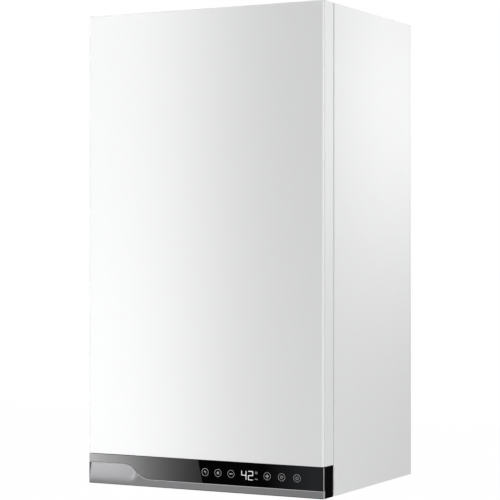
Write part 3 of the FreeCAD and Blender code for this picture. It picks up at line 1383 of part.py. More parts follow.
CORE_SPACE = f"({CHAMBER_TOP} - {BURNER_TOP} - fin_block_height)"
LINER_HEIGHT = f"(liner_share * ({CORE_SPACE} - hood_least))"
LINER_TOP = f"({BURNER_TOP} + {LINER_HEIGHT})"
liner_loops = []
for grow in ("0", "liner_wall"):
    liner_loops.append(rectangle(
        f"-{CORE_HALF} - {grow}", f"{CORE_HALF} + {grow}", f"{CORE_FRONT} - {grow}", f"{CORE_BACK} + {grow}",
    ))
piece("combustion_liner", padded("liner", "XY_Plane", liner_loops, LINER_HEIGHT, ("0", "0", BURNER_TOP)))

FIN_TOP = f"({LINER_TOP} + fin_block_height)"
PIPE_Z = f"({LINER_TOP} + fin_block_height / 2)"
EXCHANGER_HALF = f"(2 * {TAIL_PITCH} - pipe_run)"
fins = doc.addObject("PartDesign::Body", "fins_body")
fin = add_pad(fins, "YZ_Plane", [rectangle(CORE_FRONT, CORE_BACK, LINER_TOP, FIN_TOP)], "fin_sheet")
doc.recompute()
fin_row = fins.newObject("PartDesign::LinearPattern", "fin_row")
fin_row.Originals = [fin]
fin_row.Direction = (fin.Profile[0], ["N_Axis"])
fins.Tip = fin_row
bind(fin_row, Length=f"2 * {CORE_HALF} - fin_sheet", Occurrences="fin_count")
place(fins, (f"-{CORE_HALF}", "0", "0"))
TUBE_STEP = f"({CORE_DEPTH} / tube_count)"
# A hair over the half width, so that each round end stays a plain half turn.
TUBE_END = "(tube_half_width * 1.000001)"
tube_loops = []
for index in range(int(number("tube_count"))):
    middle = f"({CORE_FRONT} + {TUBE_STEP} * {index + 0.5})"
    foot = f"{PIPE_Z} - tube_half_height + tube_half_width"
    head = f"{PIPE_Z} + tube_half_height - tube_half_width"
    tube_loops.append([
        (f"{middle} - tube_half_width", head),
        (f"{middle} - tube_half_width", foot, TUBE_END),
        (f"{middle} + tube_half_width", foot),
        (f"{middle} + tube_half_width", head, TUBE_END),
    ])
tubes = padded("tubes", "YZ_Plane", tube_loops, f"2 * {CORE_HALF}", (f"-{CORE_HALF}", "0", "0"))
end_boxes = []
for sign in ("-1", "1"):
    faces = [f"{sign} * {CORE_HALF}", f"{sign} * {EXCHANGER_HALF}"]
    low, high = faces if sign == "1" else faces[::-1]
    end_boxes.append(block(
        "end_box", (low, high), (CORE_FRONT, CORE_BACK), (f"{LINER_TOP} + fin_margin", f"{FIN_TOP} - fin_margin"),
    ))
piece("heat_exchanger", fuse("fin_block", [fins, tubes] + end_boxes))

for name, sign, foot in (
    ("flow_pipe", "-1", level("flow_riser_level")),
    ("return_pipe", "1", PUMP_OUTLET),
):
    piece(name, bent_tube(
        f"{name}_run",
        [
            (f"{sign} * 2 * {TAIL_PITCH}", TAIL_Y, foot),
            (f"{sign} * 2 * {TAIL_PITCH}", TAIL_Y, PIPE_Z),
            (f"{sign} * {EXCHANGER_HALF}", TAIL_Y, PIPE_Z),
        ],
        "water_pipe_radius",
        "water_bend",
        "pipe_wall",
    ))

# The flue hood leads the gases back and up to an upright face that the fan hangs on.

FAN_Z = f"({CHAMBER_TOP} - fan_drop)"
HOOD_TOP = f"({CHAMBER_TOP} - hood_top_drop)"
NECK_FOOT = f"({FAN_Z} - volute_base - 3 * volute_step - hood_skirt)"


def hood_outline(wall, foot):
    """The hood's profile from the side, drawn in by its wall."""
    return [
        (f"{CORE_FRONT} + {wall}", foot),
        (f"{CORE_BACK} - {wall}", foot),
        (f"{CORE_BACK} - {wall}", f"{HOOD_TOP} - {wall}"),
        (f"{NECK_Y} + {wall}", f"{HOOD_TOP} - {wall}"),
        (f"{NECK_Y} + {wall}", f"{NECK_FOOT} - {wall}"),
        (f"{CORE_FRONT} + {wall}", f"{FIN_TOP} + hood_skirt - {wall}"),
    ]


hood_shell = padded("hood_shell", "YZ_Plane", [hood_outline("0", FIN_TOP)], f"2 * {CORE_HALF}", (f"-{CORE_HALF}", "0", "0"))
hood_hollow = padded(
    "hood_hollow",
    "YZ_Plane",
    [hood_outline("hood_sheet", FIN_TOP)],
    f"2 * {CORE_HALF} - 2 * hood_sheet",
    (f"hood_sheet - {CORE_HALF}", "0", "0"),
)
FAN_X = "(duct_width / 2 - volute_base - 3 * volute_step)"
fan_inlet = rod("fan_inlet", "fan_inlet", (FAN_X, f"{NECK_Y} + hood_sheet", FAN_Z), "hood_sheet", TO_FRONT)
piece("flue_hood", cut("hood_part", hood_shell, [hood_hollow, fan_inlet]))

# The fan: a scroll that grows a step each quarter turn, with a round outlet on its duct.

DUCT_TOP = f"({CHAMBER_TOP} - duct_drop)"
SCROLL_FRONT = f"({NECK_Y} - scroll_depth)"


def scroll_outline(wall):
    """The scroll of the fan seen from the front, drawn in by its sheet."""
    outer_x = f"{FAN_X} + volute_base + 3 * volute_step - {wall}"
    inner_x = f"{FAN_X} + volute_base + 3 * volute_step - duct_width + {wall}"
    crown = f"{FAN_Z} + volute_base - {wall}"
    return [
        (FAN_X, crown, f"volute_base - {wall}"),
        (f"{FAN_X} - volute_base + {wall}", FAN_Z, f"volute_base + volute_step - {wall}"),
        (f"{FAN_X} + volute_step", f"{FAN_Z} - volute_base - volute_step + {wall}",
         f"volute_base + 2 * volute_step - {wall}"),
        (outer_x, f"{FAN_Z} + volute_step"),
        (outer_x, f"{DUCT_TOP} - {wall}"),
        (inner_x, f"{DUCT_TOP} - {wall}"),
        (inner_x, crown),
    ]


scroll_shell = padded("scroll_shell", "XZ_Plane", [scroll_outline("0")], "scroll_depth", ("0", NECK_Y, "0"))
scroll_hollow = padded(
    "scroll_hollow",
    "XZ_Plane",
    [scroll_outline("scroll_sheet")],
    "scroll_depth - 2 * scroll_sheet",
    ("0", f"{NECK_Y} - scroll_sheet", "0"),
)
SPIGOT_TOP = f"({TOP} - collar_depth)"
spigot = rod("spigot", "spigot_radius", ("0", FLUE_LINE, DUCT_TOP), f"{SPIGOT_TOP} - {DUCT_TOP}")
spigot_bore = rod(
    "spigot_bore",
    "spigot_radius - spigot_wall",
    ("0", FLUE_LINE, f"{DUCT_TOP} - scroll_sheet"),
    f"{SPIGOT_TOP} - {DUCT_TOP} + scroll_sheet",
)
scroll_openings = [
    scroll_hollow,
    rod("scroll_inlet", "fan_inlet", (FAN_X, NECK_Y, FAN_Z), "scroll_sheet", TO_FRONT),
    rod("shaft_hole", "2 * shaft_radius", (FAN_X, f"{SCROLL_FRONT} + scroll_sheet", FAN_Z), "scroll_sheet", TO_FRONT),
    spigot_bore,
]
piece("fan_housing", cut("scroll_part", fuse("scroll_solid", [scroll_shell, spigot]), scroll_openings))

# The impeller turns in the scroll: a disc, curved blades reaching back and a ring at the inlet.

DISC_Y = f"({SCROLL_FRONT} + scroll_sheet + impeller_gap)"
impeller = doc.addObject("PartDesign::Body", "impeller_body")
add_pad(impeller, "XZ_Plane", [("circle", "0", "0", "impeller_radius")], "impeller_sheet", "-impeller_sheet")
add_pad(impeller, "XZ_Plane", [("circle", "0", "0", "shaft_radius")], "shaft_length")
add_pad(
    impeller,
    "XZ_Plane",
    [("circle", "0", "0", "impeller_radius"), ("circle", "0", "0", "impeller_root")],
    "impeller_sheet",
    "-impeller_depth",
)
blade_loop = [
    ("0", "impeller_root", "blade_curve"),
    ("-impeller_lean", "impeller_radius"),
    ("-impeller_lean - blade_sheet", "impeller_radius - blade_sheet / 2", "-blade_curve"),
    ("-blade_sheet", "impeller_root"),
]
vane = add_pad(
    impeller, "XZ_Plane", [blade_loop], "impeller_depth - 2 * impeller_sheet", "impeller_sheet - impeller_depth",
)
doc.recompute()
vane_ring = impeller.newObject("PartDesign::PolarPattern", "vane_ring")
vane_ring.Originals = [vane]
vane_ring.Axis = (vane.Profile[0], ["N_Axis"])
vane_ring.Angle = 360
impeller.Tip = vane_ring
bind(vane_ring, Occurrences="impeller_blades")
place(impeller, (FAN_X, DISC_Y, FAN_Z))
piece("fan_impeller", impeller)

SHAFT_HOLE = "(shaft_radius + pin_clearance)"
piece("fan_motor", turned(
    "fan_drive",
    [
        (SHAFT_HOLE, "0"),
        ("fan_motor_radius", "0"),
        ("fan_motor_radius", "fan_motor_foot"),
        ("fan_motor_radius * 4 / 5", "fan_motor_foot"),
        ("fan_motor_radius * 4 / 5", "fan_motor_length - fan_motor_foot"),
        ("fan_motor_radius * 2 / 3", "fan_motor_length"),
        (SHAFT_HOLE, "fan_motor_length"),
    ],
    (FAN_X, SCROLL_FRONT, FAN_Z),
    TO_FRONT,
))
piece("air_pressure_switch", turned(
    "air_switch",
    [
        ("0", "0"),
        ("switch_radius * 3 / 4", "0"),
        ("switch_radius", "switch_depth / 3"),
        ("switch_radius", "switch_depth / 2"),
        ("switch_radius * 3 / 4", "switch_depth * 5 / 6"),
        ("switch_radius / 5", "switch_depth * 5 / 6"),
        ("switch_radius / 5", "switch_depth"),
        ("0", "switch_depth"),
    ],
    (f"{CHAMBER_HALF} - chamber_sheet", "-switch_line", f"{CHAMBER_TOP} - switch_drop"),
    TO_LEFT,
))

# Flue collar on the casing top: the flue in the middle, the air ring around it, three webs between.

collar_ring = turned(
    "collar_ring",
    [
        ("air_radius - air_wall", "0"),
        ("collar_flange", "0"),
        ("collar_flange", "collar_sheet"),
        ("air_radius", "collar_sheet"),
        ("air_radius", "collar_rise"),
        ("air_radius - air_wall", "collar_rise"),
    ],
    ("0", FLUE_LINE, TOP),
)
collar_tube = turned(
    "collar_tube",
    [
        ("flue_radius", "-collar_depth"),
        ("flue_radius + flue_wall", "-collar_depth"),
        ("flue_radius + flue_wall", "collar_rise"),
        ("flue_radius", "collar_rise"),
    ],
    ("0", FLUE_LINE, TOP),
)
collar_parts = [collar_ring, collar_tube]
web_count = int(number("collar_webs"))
for index in range(web_count):
    web = doc.addObject("Part::Box", "collar_web_bar")
    bind(web, Length="air_radius - air_wall / 2 - flue_radius - flue_wall / 2", Width="collar_web", Height="collar_sheet")
    angle = 90 + index * 360 / web_count
    start = FreeCAD.Vector(number("flue_radius + flue_wall / 2"), -number("collar_web / 2"), 0)
    turn = FreeCAD.Rotation(FreeCAD.Vector(0, 0, 1), angle)
    foot = FreeCAD.Vector(0, number(FLUE_LINE), number(TOP))
    web.Placement = FreeCAD.Placement(foot + turn.multVec(start), turn)
    collar_parts.append(web)
piece("flue_collar", fuse("collar_part", collar_parts))

CAP_RADIUS = f"(({HALF} - collar_flange - cap_inner_gap - cap_outer_gap) / 2)"
CAP_OFFSET = f"(collar_flange + cap_inner_gap + {CAP_RADIUS})"
caps = []
for sign in ("-1", "1"):
    caps.append(turned(
        "cap",
        [
            ("0", "0"),
            (CAP_RADIUS, "0"),
            (CAP_RADIUS, "cap_height / 2"),
            (f"{CAP_RADIUS} - cap_height", "cap_height"),
            (f"{CAP_RADIUS} - 2 * cap_height", "cap_height"),
            (f"{CAP_RADIUS} - 3 * cap_height", "cap_height / 2"),
            ("0", "cap_height / 2"),
        ],
        (f"{sign} * {CAP_OFFSET}", FLUE_LINE, TOP),
    ))
piece("intake_caps", group("cap_pair", caps))

# Water side behind the chamber: a flat round expansion vessel and its pipe.

VESSEL_RADIUS = "(case_height * vessel_share)"
VESSEL_Z = f"({TOP} - vessel_drop - {VESSEL_RADIUS})"
VESSEL_MIDDLE = "(vessel_depth / 2)"
VESSEL_CORNER = f"({VESSEL_MIDDLE} - vessel_seam)"


def vessel_outline(wall):
    """Half the vessel's section: flat ends, rounded shoulders and a rolled seam, drawn in by its wall."""
    rim = f"({VESSEL_RADIUS} - vessel_seam - {wall})"
    outline = [("0", wall)]
    outline.append((f"{VESSEL_RADIUS} - {VESSEL_MIDDLE}", wall, f"{VESSEL_CORNER} - {wall}"))
    outline.append((rim, VESSEL_CORNER))
    if wall == "0":
        outline.append((VESSEL_RADIUS, VESSEL_CORNER))
        outline.append((VESSEL_RADIUS, f"{VESSEL_MIDDLE} + vessel_seam"))
    outline.append((rim, f"{VESSEL_MIDDLE} + vessel_seam", f"{VESSEL_CORNER} - {wall}"))
    outline.append((f"{VESSEL_RADIUS} - {VESSEL_MIDDLE}", f"vessel_depth - {wall}"))
    outline.append(("0", f"vessel_depth - {wall}"))
    return outline


VESSEL_Y = f"({BACK_FACE} - vessel_depth / 2)"
STUB_FOOT = f"({VESSEL_Z} - {VESSEL_RADIUS} - vessel_stub_length)"
vessel_shell = turned("vessel_shell", vessel_outline("0"), ("0", BACK_FACE, VESSEL_Z), TO_FRONT)
vessel_hollow = turned("vessel_hollow", vessel_outline("vessel_sheet"), ("0", BACK_FACE, VESSEL_Z), TO_FRONT)
stub = rod("stub", "vessel_stub", ("0", VESSEL_Y, STUB_FOOT), "vessel_stub_length + vessel_stub")
stub_bore = rod(
    "stub_bore",
    "vessel_pipe_radius - pipe_wall",
    ("0", VESSEL_Y, STUB_FOOT),
    "vessel_stub_length + 2 * vessel_stub",
)
JOG_FOOT = level("vessel_jog_foot")
vessel_solid = fuse("vessel_solid", [vessel_shell, stub])
piece("expansion_vessel", cut("vessel_part", vessel_solid, [vessel_hollow, stub_bore]))
piece("vessel_pipe", bent_tube(
    "vessel_run",
    [
        ("0", VESSEL_Y, STUB_FOOT),
        ("0", VESSEL_Y, f"{STUB_FOOT} - jog_share * ({STUB_FOOT} - {JOG_FOOT})"),
        (TAP_X, VESSEL_Y, JOG_FOOT),
        (TAP_X, VESSEL_Y, BRIDGE_Z),
        (TAP_X, VESSEL_BOSS_Y, BRIDGE_Z),
    ],
    "vessel_pipe_radius",
    "vessel_bend",
    "pipe_wall",
))

# Safety valve and filling tap, each with a grip knob that turns on its stem.


def knob(name, at, turn):
    """A round knob with grips around it and a blind bore for its stem."""
    parts = [rod(f"{name}_hub", "knob_radius - knob_grip_radius", at, "knob_length", turn)]
    bore = rod(f"{name}_bore", "stem_radius + pin_clearance", at, "stem_length + fit_gap", turn)
    grips = int(number("knob_grips"))
    centre = FreeCAD.Vector(*[number(text) for text in at])
    for index in range(grips):
        grip = doc.addObject("Part::Cylinder", f"{name}_grip")
        bind(grip, Radius="knob_grip_radius", Height="knob_length")
        angle = 2 * math.pi * index / grips
        reach = number("knob_radius - knob_grip_radius")
        offset = FreeCAD.Vector(reach * math.cos(angle), reach * math.sin(angle), 0)
        grip.Placement = FreeCAD.Placement(centre + turn.multVec(offset), turn)
        parts.append(grip)
    return cut(f"{name}_part", fuse(f"{name}_solid", parts), [bore])


safety_shapes = [
    turned(
        "safety_case",
        [
            ("0", "0"),
            ("safety_radius", "0"),
            ("safety_radius", "safety_length - safety_radius / 2"),
            ("safety_radius - safety_radius / 4", "safety_length"),
            ("stem_radius", "safety_length"),
            ("stem_radius", "safety_length + stem_length"),
            ("0", "safety_length + stem_length"),
        ],
        (PUMP_X, SAFETY_BACK, SAFETY_Z),
        TO_FRONT,
    ),
    rod(
        "safety_spout",
        "spout_radius",
        (PUMP_X, f"{SAFETY_BACK} - safety_length / 2", f"{SAFETY_Z} - safety_radius - fit_gap"),
        "safety_radius",
    ),
]
piece("safety_valve", fuse("safety_part", safety_shapes))
SAFETY_KNOB_Y = f"({SAFETY_BACK} - safety_length - fit_gap)"
piece("safety_knob", knob("safety_grip", (PUMP_X, SAFETY_KNOB_Y, SAFETY_Z), TO_FRONT))

TAP_Z = level("tap_seat_level")
piece("filling_tap", turned(
    "tap",
    [
        ("0", "0"),
        ("boss_radius", "0"),
        ("boss_radius", "collar_height"),
        ("tap_radius", "collar_height"),
        ("tap_radius", "tap_length"),
        ("stem_radius", "tap_length"),
        ("stem_radius", "tap_length + stem_length"),
        ("0", "tap_length + stem_length"),
    ],
    (TAP_X, TAIL_Y, TAP_Z),
    DOWN,
))
piece("filling_knob", knob("filling_grip", (TAP_X, TAIL_Y, f"{TAP_Z} - tap_length - fit_gap"), DOWN))

piece("cable_gland", turned(
    "gland",
    [
        ("gland_bore", "-gland_height"),
        ("gland_flange * 3 / 4", "-gland_height"),
        ("gland_flange", "-gland_height / 2"),
        ("gland_flange", "0"),
        ("gland_radius", "0"),
        ("gland_radius", "plate_sheet"),
        ("gland_flange", "plate_sheet"),
        ("gland_flange", "gland_height / 2"),
        ("gland_bore", "gland_height / 2"),
    ],
    (f"-{TAP_X}", TAIL_Y, PLATE_Z),
))

# Check every object, then write each piece to its own file.

doc.recompute()
for item in doc.Objects:
    if "Invalid" in item.State or "Error" in item.State:
        raise RuntimeError(f"{item.Name} is {item.State}")
os.makedirs("parts", exist_ok=True)
for name, item in PIECES:
    if item.Shape.isNull() or not item.Shape.isValid():
        raise RuntimeError(f"{name} has no valid shape")
    item.Shape.exportStep(f"parts/{name}.step")
    print(name, len(item.Shape.Solids), round(item.Shape.Volume), item.Shape.BoundBox)
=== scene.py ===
# %% [markdown]
# # A wall-hung gas boiler
# The boiler hangs on a wall: a white steel cover in front, folded side panels behind it, and a narrow
# control strip with a touch window under the cover. Every piece could be drawn again from nothing, but the
# engineering model already gives each one its place and size. So this lesson loads that model as a fixed
# frame, and then models the pieces that the eye reads first.

# %% Load the frame
import math
from types import SimpleNamespace

import bpy
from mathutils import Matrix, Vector


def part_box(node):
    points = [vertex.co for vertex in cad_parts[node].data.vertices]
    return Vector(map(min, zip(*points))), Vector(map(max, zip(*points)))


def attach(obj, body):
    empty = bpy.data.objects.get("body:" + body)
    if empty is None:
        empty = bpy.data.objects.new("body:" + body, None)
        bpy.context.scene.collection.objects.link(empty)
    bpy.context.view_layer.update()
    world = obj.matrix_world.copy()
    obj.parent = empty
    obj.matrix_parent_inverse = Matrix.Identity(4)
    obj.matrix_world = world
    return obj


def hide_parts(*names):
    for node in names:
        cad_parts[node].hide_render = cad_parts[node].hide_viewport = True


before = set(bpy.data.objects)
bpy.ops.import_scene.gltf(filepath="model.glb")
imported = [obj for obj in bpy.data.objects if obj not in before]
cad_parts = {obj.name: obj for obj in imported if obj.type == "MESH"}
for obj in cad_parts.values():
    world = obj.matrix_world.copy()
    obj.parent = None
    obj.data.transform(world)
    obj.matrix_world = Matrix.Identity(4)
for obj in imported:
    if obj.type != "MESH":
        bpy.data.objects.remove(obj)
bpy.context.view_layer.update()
scene = bpy.context.scene
MM = 0.001

# %% [markdown]
# ## Working by hand
# Most pieces of a boiler are blocks, sheets and bars that somebody cut, bent or pressed. A script could
# write such a piece as a list of points. Here each one starts from a primitive and is shaped by operators
# instead, because a reader can repeat that with the mouse. Operators act on whatever is selected, and
# loading leaves every node selected, so these helpers clear the desk, take up one piece, and start a block.

# %% Helpers that clear the desk and start a block


def clear_desk():
    """Leave edit mode and select nothing."""
    if bpy.context.object and bpy.context.object.mode != "OBJECT":
        bpy.ops.object.mode_set(mode="OBJECT")
    bpy.ops.object.select_all(action="DESELECT")


def take_up(piece):
    """Select one piece alone and make it the active one."""
    clear_desk()
    piece.select_set(True)
    bpy.context.view_layer.objects.active = piece


def start_block(name, low, high):
    """A cube stretched between two corners given in millimetres."""
    clear_desk()
    low, high = Vector(low) * MM, Vector(high) * MM
    bpy.ops.mesh.primitive_cube_add(size=1, location=(low + high) / 2, scale=high - low)
    bpy.ops.object.transform_apply(location=True, rotation=True, scale=True)
    block = bpy.context.object
    block.name = name
    return block


print("one millimetre is", MM, "of Blender's metres")

# %% [markdown]
# With the mouse, faces and edges are picked by clicking on them. A script could list their numbers, but
# those change with every cut. So faces, edges and points are picked by a test on their place and their
# direction, which still finds them when a size changes. Cuts go straight across one axis, like a saw's.

# %% Helpers that pick and cut
NEAR = 0.01
FACING = 0.9


def pick(piece, kind, test):
    """Pick the faces, edges or points whose middle (in mm) and direction pass a test; count them."""
    take_up(piece)
    bpy.ops.object.mode_set(mode="EDIT")
    bpy.ops.mesh.select_mode(type=kind)
    bpy.ops.mesh.select_all(action="DESELECT")
    bpy.ops.object.mode_set(mode="OBJECT")
    mesh = piece.data
    if kind == "FACE":
        found = [face for face in mesh.polygons if test(face.center / MM, face.normal)]
    elif kind == "EDGE":
        found = []
        for edge in mesh.edges:
            start, end = (mesh.vertices[number].co / MM for number in edge.vertices)
            if test((start + end) / 2, end - start):
                found.append(edge)
    else:
        found = [point for point in mesh.vertices if test(point.co / MM, point.normal)]
    for part in found:
        part.select = True
    bpy.ops.object.mode_set(mode="EDIT")
    return len(found)


def cut_across(axis, place):
    """Cut the piece in edit mode across X (0), Y (1) or Z (2), at a place in millimetres."""
    point, way = [0, 0, 0], [0, 0, 0]
    point[axis], way[axis] = place * MM, 1
    bpy.ops.mesh.select_all(action="SELECT")
    bpy.ops.mesh.bisect(plane_co=point, plane_no=way)


print("places agree within", NEAR, "mm")

# %% [markdown]
# A finished piece needs soft shading on its round parts, its finish, and a body to ride on. Modifiers could
# stay live on it, but an applied one leaves plain faces that every program shows alike. The last helper does
# this for each piece, and says which nodes of the model the piece stands for.

# %% Helpers that finish a piece


def use_modifier(piece, kind, **settings):
    """Add a modifier, set it and apply it."""
    take_up(piece)
    modifier = piece.modifiers.new(kind.title(), kind)
    for key, value in settings.items():
        setattr(modifier, key, value)
    bpy.ops.object.modifier_apply(modifier=modifier.name)


def close_piece(piece, finish, body, nodes=(), smooth=40):
    """Smooth a piece, give it its finish, and let it ride on a body in place of CAD nodes."""
    take_up(piece)
    bpy.ops.object.transform_apply(location=True, rotation=True, scale=True)
    bpy.ops.object.shade_smooth_by_angle(angle=math.radians(smooth))
    use_modifier(piece, "WEIGHTED_NORMAL", keep_sharp=True)
    if not piece.data.materials:
        piece.data.materials.append(finish.material)
    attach(piece, body)
    if nodes:
        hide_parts(*nodes)
    clear_desk()
    print(piece.name, "faces", len(piece.data.polygons), "on", body)


# %% [markdown]
# ## Finishes
# No surface of a boiler is quite even: paint has its peel, metal its rolling or casting grain. Pictures could
# be wrapped around the pieces, but a pattern of nodes stays sharp at any distance. It reads Object
# coordinates, so it stays put when a piece moves. One helper builds what all finishes share: a shader, a
# noise that plays on its roughness, and a bump at the grain's own scale.

# %% A helper that starts a finish
BUMP_HEIGHT = 0.5 * MM
LEAST_ROUGHNESS = 0.02


def new_finish(name, color, roughness, metallic=0.0, grain=400.0, rough_play=0.08, bump=0.02, **sockets):
    """A finish whose grain plays on roughness and bump; returns its material and its nodes."""
    material = bpy.data.materials.new(name)
    material.use_nodes = True
    nodes, links = material.node_tree.nodes, material.node_tree.links
    shader = nodes["Principled BSDF"]
    shader.inputs["Base Color"].default_value = (*color, 1)
    shader.inputs["Metallic"].default_value = metallic
    for key, value in sockets.items():
        shader.inputs[key.replace("_", " ")].default_value = value
    place = nodes.new("ShaderNodeTexCoord")
    noise = nodes.new("ShaderNodeTexNoise")
    noise.inputs["Scale"].default_value = grain
    noise.inputs["Detail"].default_value = 4
    links.new(place.outputs["Object"], noise.inputs["Vector"])
    spread = nodes.new("ShaderNodeMapRange")
    spread.inputs["To Min"].default_value = max(roughness - rough_play, LEAST_ROUGHNESS)
    spread.inputs["To Max"].default_value = min(roughness + rough_play, 1)
    links.new(noise.outputs["Fac"], spread.inputs["Value"])
    links.new(spread.outputs["Result"], shader.inputs["Roughness"])
    relief = nodes.new("ShaderNodeBump")
    relief.inputs["Strength"].default_value = bump
    relief.inputs["Distance"].default_value = BUMP_HEIGHT
    links.new(noise.outputs["Fac"], relief.inputs["Height"])
    links.new(relief.outputs["Normal"], shader.inputs["Normal"])
    return SimpleNamespace(
        material=material, nodes=nodes, links=links, shader=shader,
        place=place.outputs["Object"], grain=noise.outputs["Fac"],
    )


print("bump height in mm", BUMP_HEIGHT / MM)

# %% [markdown]
# Real colours wander a little, and on the control strip they run from one end to the other. Two flat colours
# side by side would show a hard line. A colour ramp runs smoothly between them, and it can follow the grain,
# another pattern, or the place across the boiler.

# %% Helpers for colours that change


def tint_between(finish, low, high, driver=None, ends=(0.3, 0.7)):
    """Let the base colour play between two colours, by the grain or by another value."""
    ramp = finish.nodes.new("ShaderNodeValToRGB")
    for element, position, color in zip(ramp.color_ramp.elements, ends, (low, high)):
        element.position = position
        element.color = (*color, 1)
    finish.links.new(driver or finish.grain, ramp.inputs["Fac"])
    finish.links.new(ramp.outputs["Color"], finish.shader.inputs["Base Color"])
    return ramp.color_ramp


def along_x(finish, start, stop):
    """A value that runs from 0 to 1 between two places across the boiler, in millimetres."""
    split = finish.nodes.new("ShaderNodeSeparateXYZ")
    finish.links.new(finish.place, split.inputs["Vector"])
    run = finish.nodes.new("ShaderNodeMapRange")
    run.inputs["From Min"].default_value = start * MM
    run.inputs["From Max"].default_value = stop * MM
    finish.links.new(split.outputs["X"], run.inputs["Value"])
    return run.outputs["Result"]


print("colours can follow the grain, a pattern or a place")

# %% [markdown]
# The casing is powder coated: a satin white with the faint orange peel that baked powder leaves. The black
# fascia is a moulding that swallows nearly all light. The peel could be sculpted, but it is far too fine for
# faces, so a dense noise gives it, between two whites that lie close together.

# %% White coat and black moulding
white_coat = new_finish(
    "white_powder_coat", (0.86, 0.86, 0.865), 0.42, grain=900, rough_play=0.04, bump=0.015,
    Specular_IOR_Level=0.3,
)
tint_between(white_coat, (0.842, 0.845, 0.852), (0.872, 0.875, 0.881))
# The same black also goes on the silver trim's lower edge as painted shade.
black_and_painted_shade = new_finish(
    "black_moulding_and_painted_shade", (0.0012, 0.0012, 0.0013), 0.35, grain=700, bump=0.01, Specular_IOR_Level=0.002,
)
print("finishes so far", len(bpy.data.materials))

# %% [markdown]
# The touch window is a clear sheet printed black on its back, and towards its right end its black runs to a
# dark grey: a painted reflection. The smoked inlay's colour runs from silver at the far left, through greys,
# to black under the keys. Many narrow pieces of different grey would show steps, so one ramp along the strip
# does it, with a stop wherever the fade changes its pace.

# %% Window print with a painted reflection, and the fading inlay
window_print_and_painted_reflection = new_finish(
    "touch_window_print", (0, 0, 0), 0.09, grain=60, rough_play=0.02, bump=0, Specular_IOR_Level=0.012,
)
# Over its right end the window's black runs to a dark grey: a painted reflection.
tint_between(
    window_print_and_painted_reflection, (0.0006, 0.0006, 0.0006), (0.022, 0.023, 0.025),
    along_x(window_print_and_painted_reflection, 105, 200), ends=(0.0, 0.8),
)
# The inlay's colour runs from silver at its left end to black at the middle of the boiler.
fade_finish = new_finish(
    "smoked_fade_print", (0.2, 0.2, 0.2), 0.22, grain=1500, rough_play=0.05, bump=0.01,
    Specular_IOR_Level=0.2,
)
fade_ramp = tint_between(
    fade_finish, (0.40, 0.40, 0.404), (0.010, 0.010, 0.0102),
    along_x(fade_finish, -200, 0), ends=(0.0, 1.0),
)
FADE_STOPS = ((0.16, 0.30), (0.33, 0.23), (0.52, 0.13), (0.70, 0.07), (0.86, 0.034))
COOLER = 1.01
for position, tone in FADE_STOPS:
    fade_ramp.elements.new(position).color = (tone, tone, tone * COOLER, 1)
print("stops of the fade", len(fade_ramp.elements))

# %% [markdown]
# The lower trim is lacquered in silver, with fine metal flakes in the lacquer. Its edges and the window's end
# get lighter finishes that are painted highlights. A mirror would be too strong, so the lacquer is only half
# metallic, and its flakes come from a very fine grain.

# %% Silver lacquer and painted edge highlights
silver_lacquer = new_finish(
    "silver_lacquer", (0.2, 0.2, 0.205), 0.25, 0.55, grain=5000, rough_play=0.05, bump=0.012,
)
tint_between(silver_lacquer, (0.172, 0.172, 0.177), (0.196, 0.196, 0.201))
# Painted highlights: lighter finishes for the window's end, the trim's right end and its upper chamfer.
window_end_painted_highlight = new_finish("painted_highlight_window_end", (0.5, 0.5, 0.51), 0.2, 0.2, grain=300, bump=0)
trim_end_painted_highlight = new_finish("painted_highlight_trim_end", (0.38, 0.38, 0.385), 0.3, 0.2, grain=300, bump=0)
chamfer_painted_highlight = new_finish("painted_highlight_chamfer", (0.5, 0.5, 0.51), 0.25, 0.85, grain=300, bump=0)
print("finishes so far", len(bpy.data.materials))

# %% [markdown]
# The key signs are white ink, and the number is lit from behind. A strong glow would spill light over the
# window, which a small display doesn't do, so the number gets only a little emission on top of its white.

# %% White ink and lit digits
sign_white = new_finish("printed_white", (0.55, 0.55, 0.56), 0.4, grain=2000, bump=0.01)
digit_light = new_finish(
    "lit_digits", (0.6, 0.6, 0.6), 0.4, grain=2000, bump=0,
    Emission_Color=(1, 1, 1, 1), Emission_Strength=0.45,
)
print("outside finishes", len(bpy.data.materials))

# %% [markdown]
# Behind the cover there is metal of many kinds. Zinc coated sheet shows pale flakes of different tone, which
# the cells of a Voronoi pattern give. Copper and brass have brown clouds where hands and heat have touched
# them, which a wide noise gives. Stainless sheet has fine lines from the rolls. Lines could be drawn one by
# one, but a noise that is stretched along the sheet never repeats.

# %% Helpers for the look of metal
ROLL_STRETCH = 60


def flaked(finish, scale, low, high):
    """Flakes of slightly different tone, as on zinc coated sheet."""
    cells = finish.nodes.new("ShaderNodeTexVoronoi")
    cells.inputs["Scale"].default_value = scale
    finish.links.new(finish.place, cells.inputs["Vector"])
    grey = finish.nodes.new("ShaderNodeSeparateColor")
    finish.links.new(cells.outputs["Color"], grey.inputs["Color"])
    tint_between(finish, low, high, grey.outputs["Red"], ends=(0.0, 1.0))
    return finish


def clouded(finish, scale, low, high):
    """Wide clouds between two tones, as on handled metal."""
    cloud = finish.nodes.new("ShaderNodeTexNoise")
    cloud.inputs["Scale"].default_value = scale
    cloud.inputs["Detail"].default_value = 6
    finish.links.new(finish.place, cloud.inputs["Vector"])
    tint_between(finish, low, high, cloud.outputs["Fac"], ends=(0.35, 0.65))
    return finish


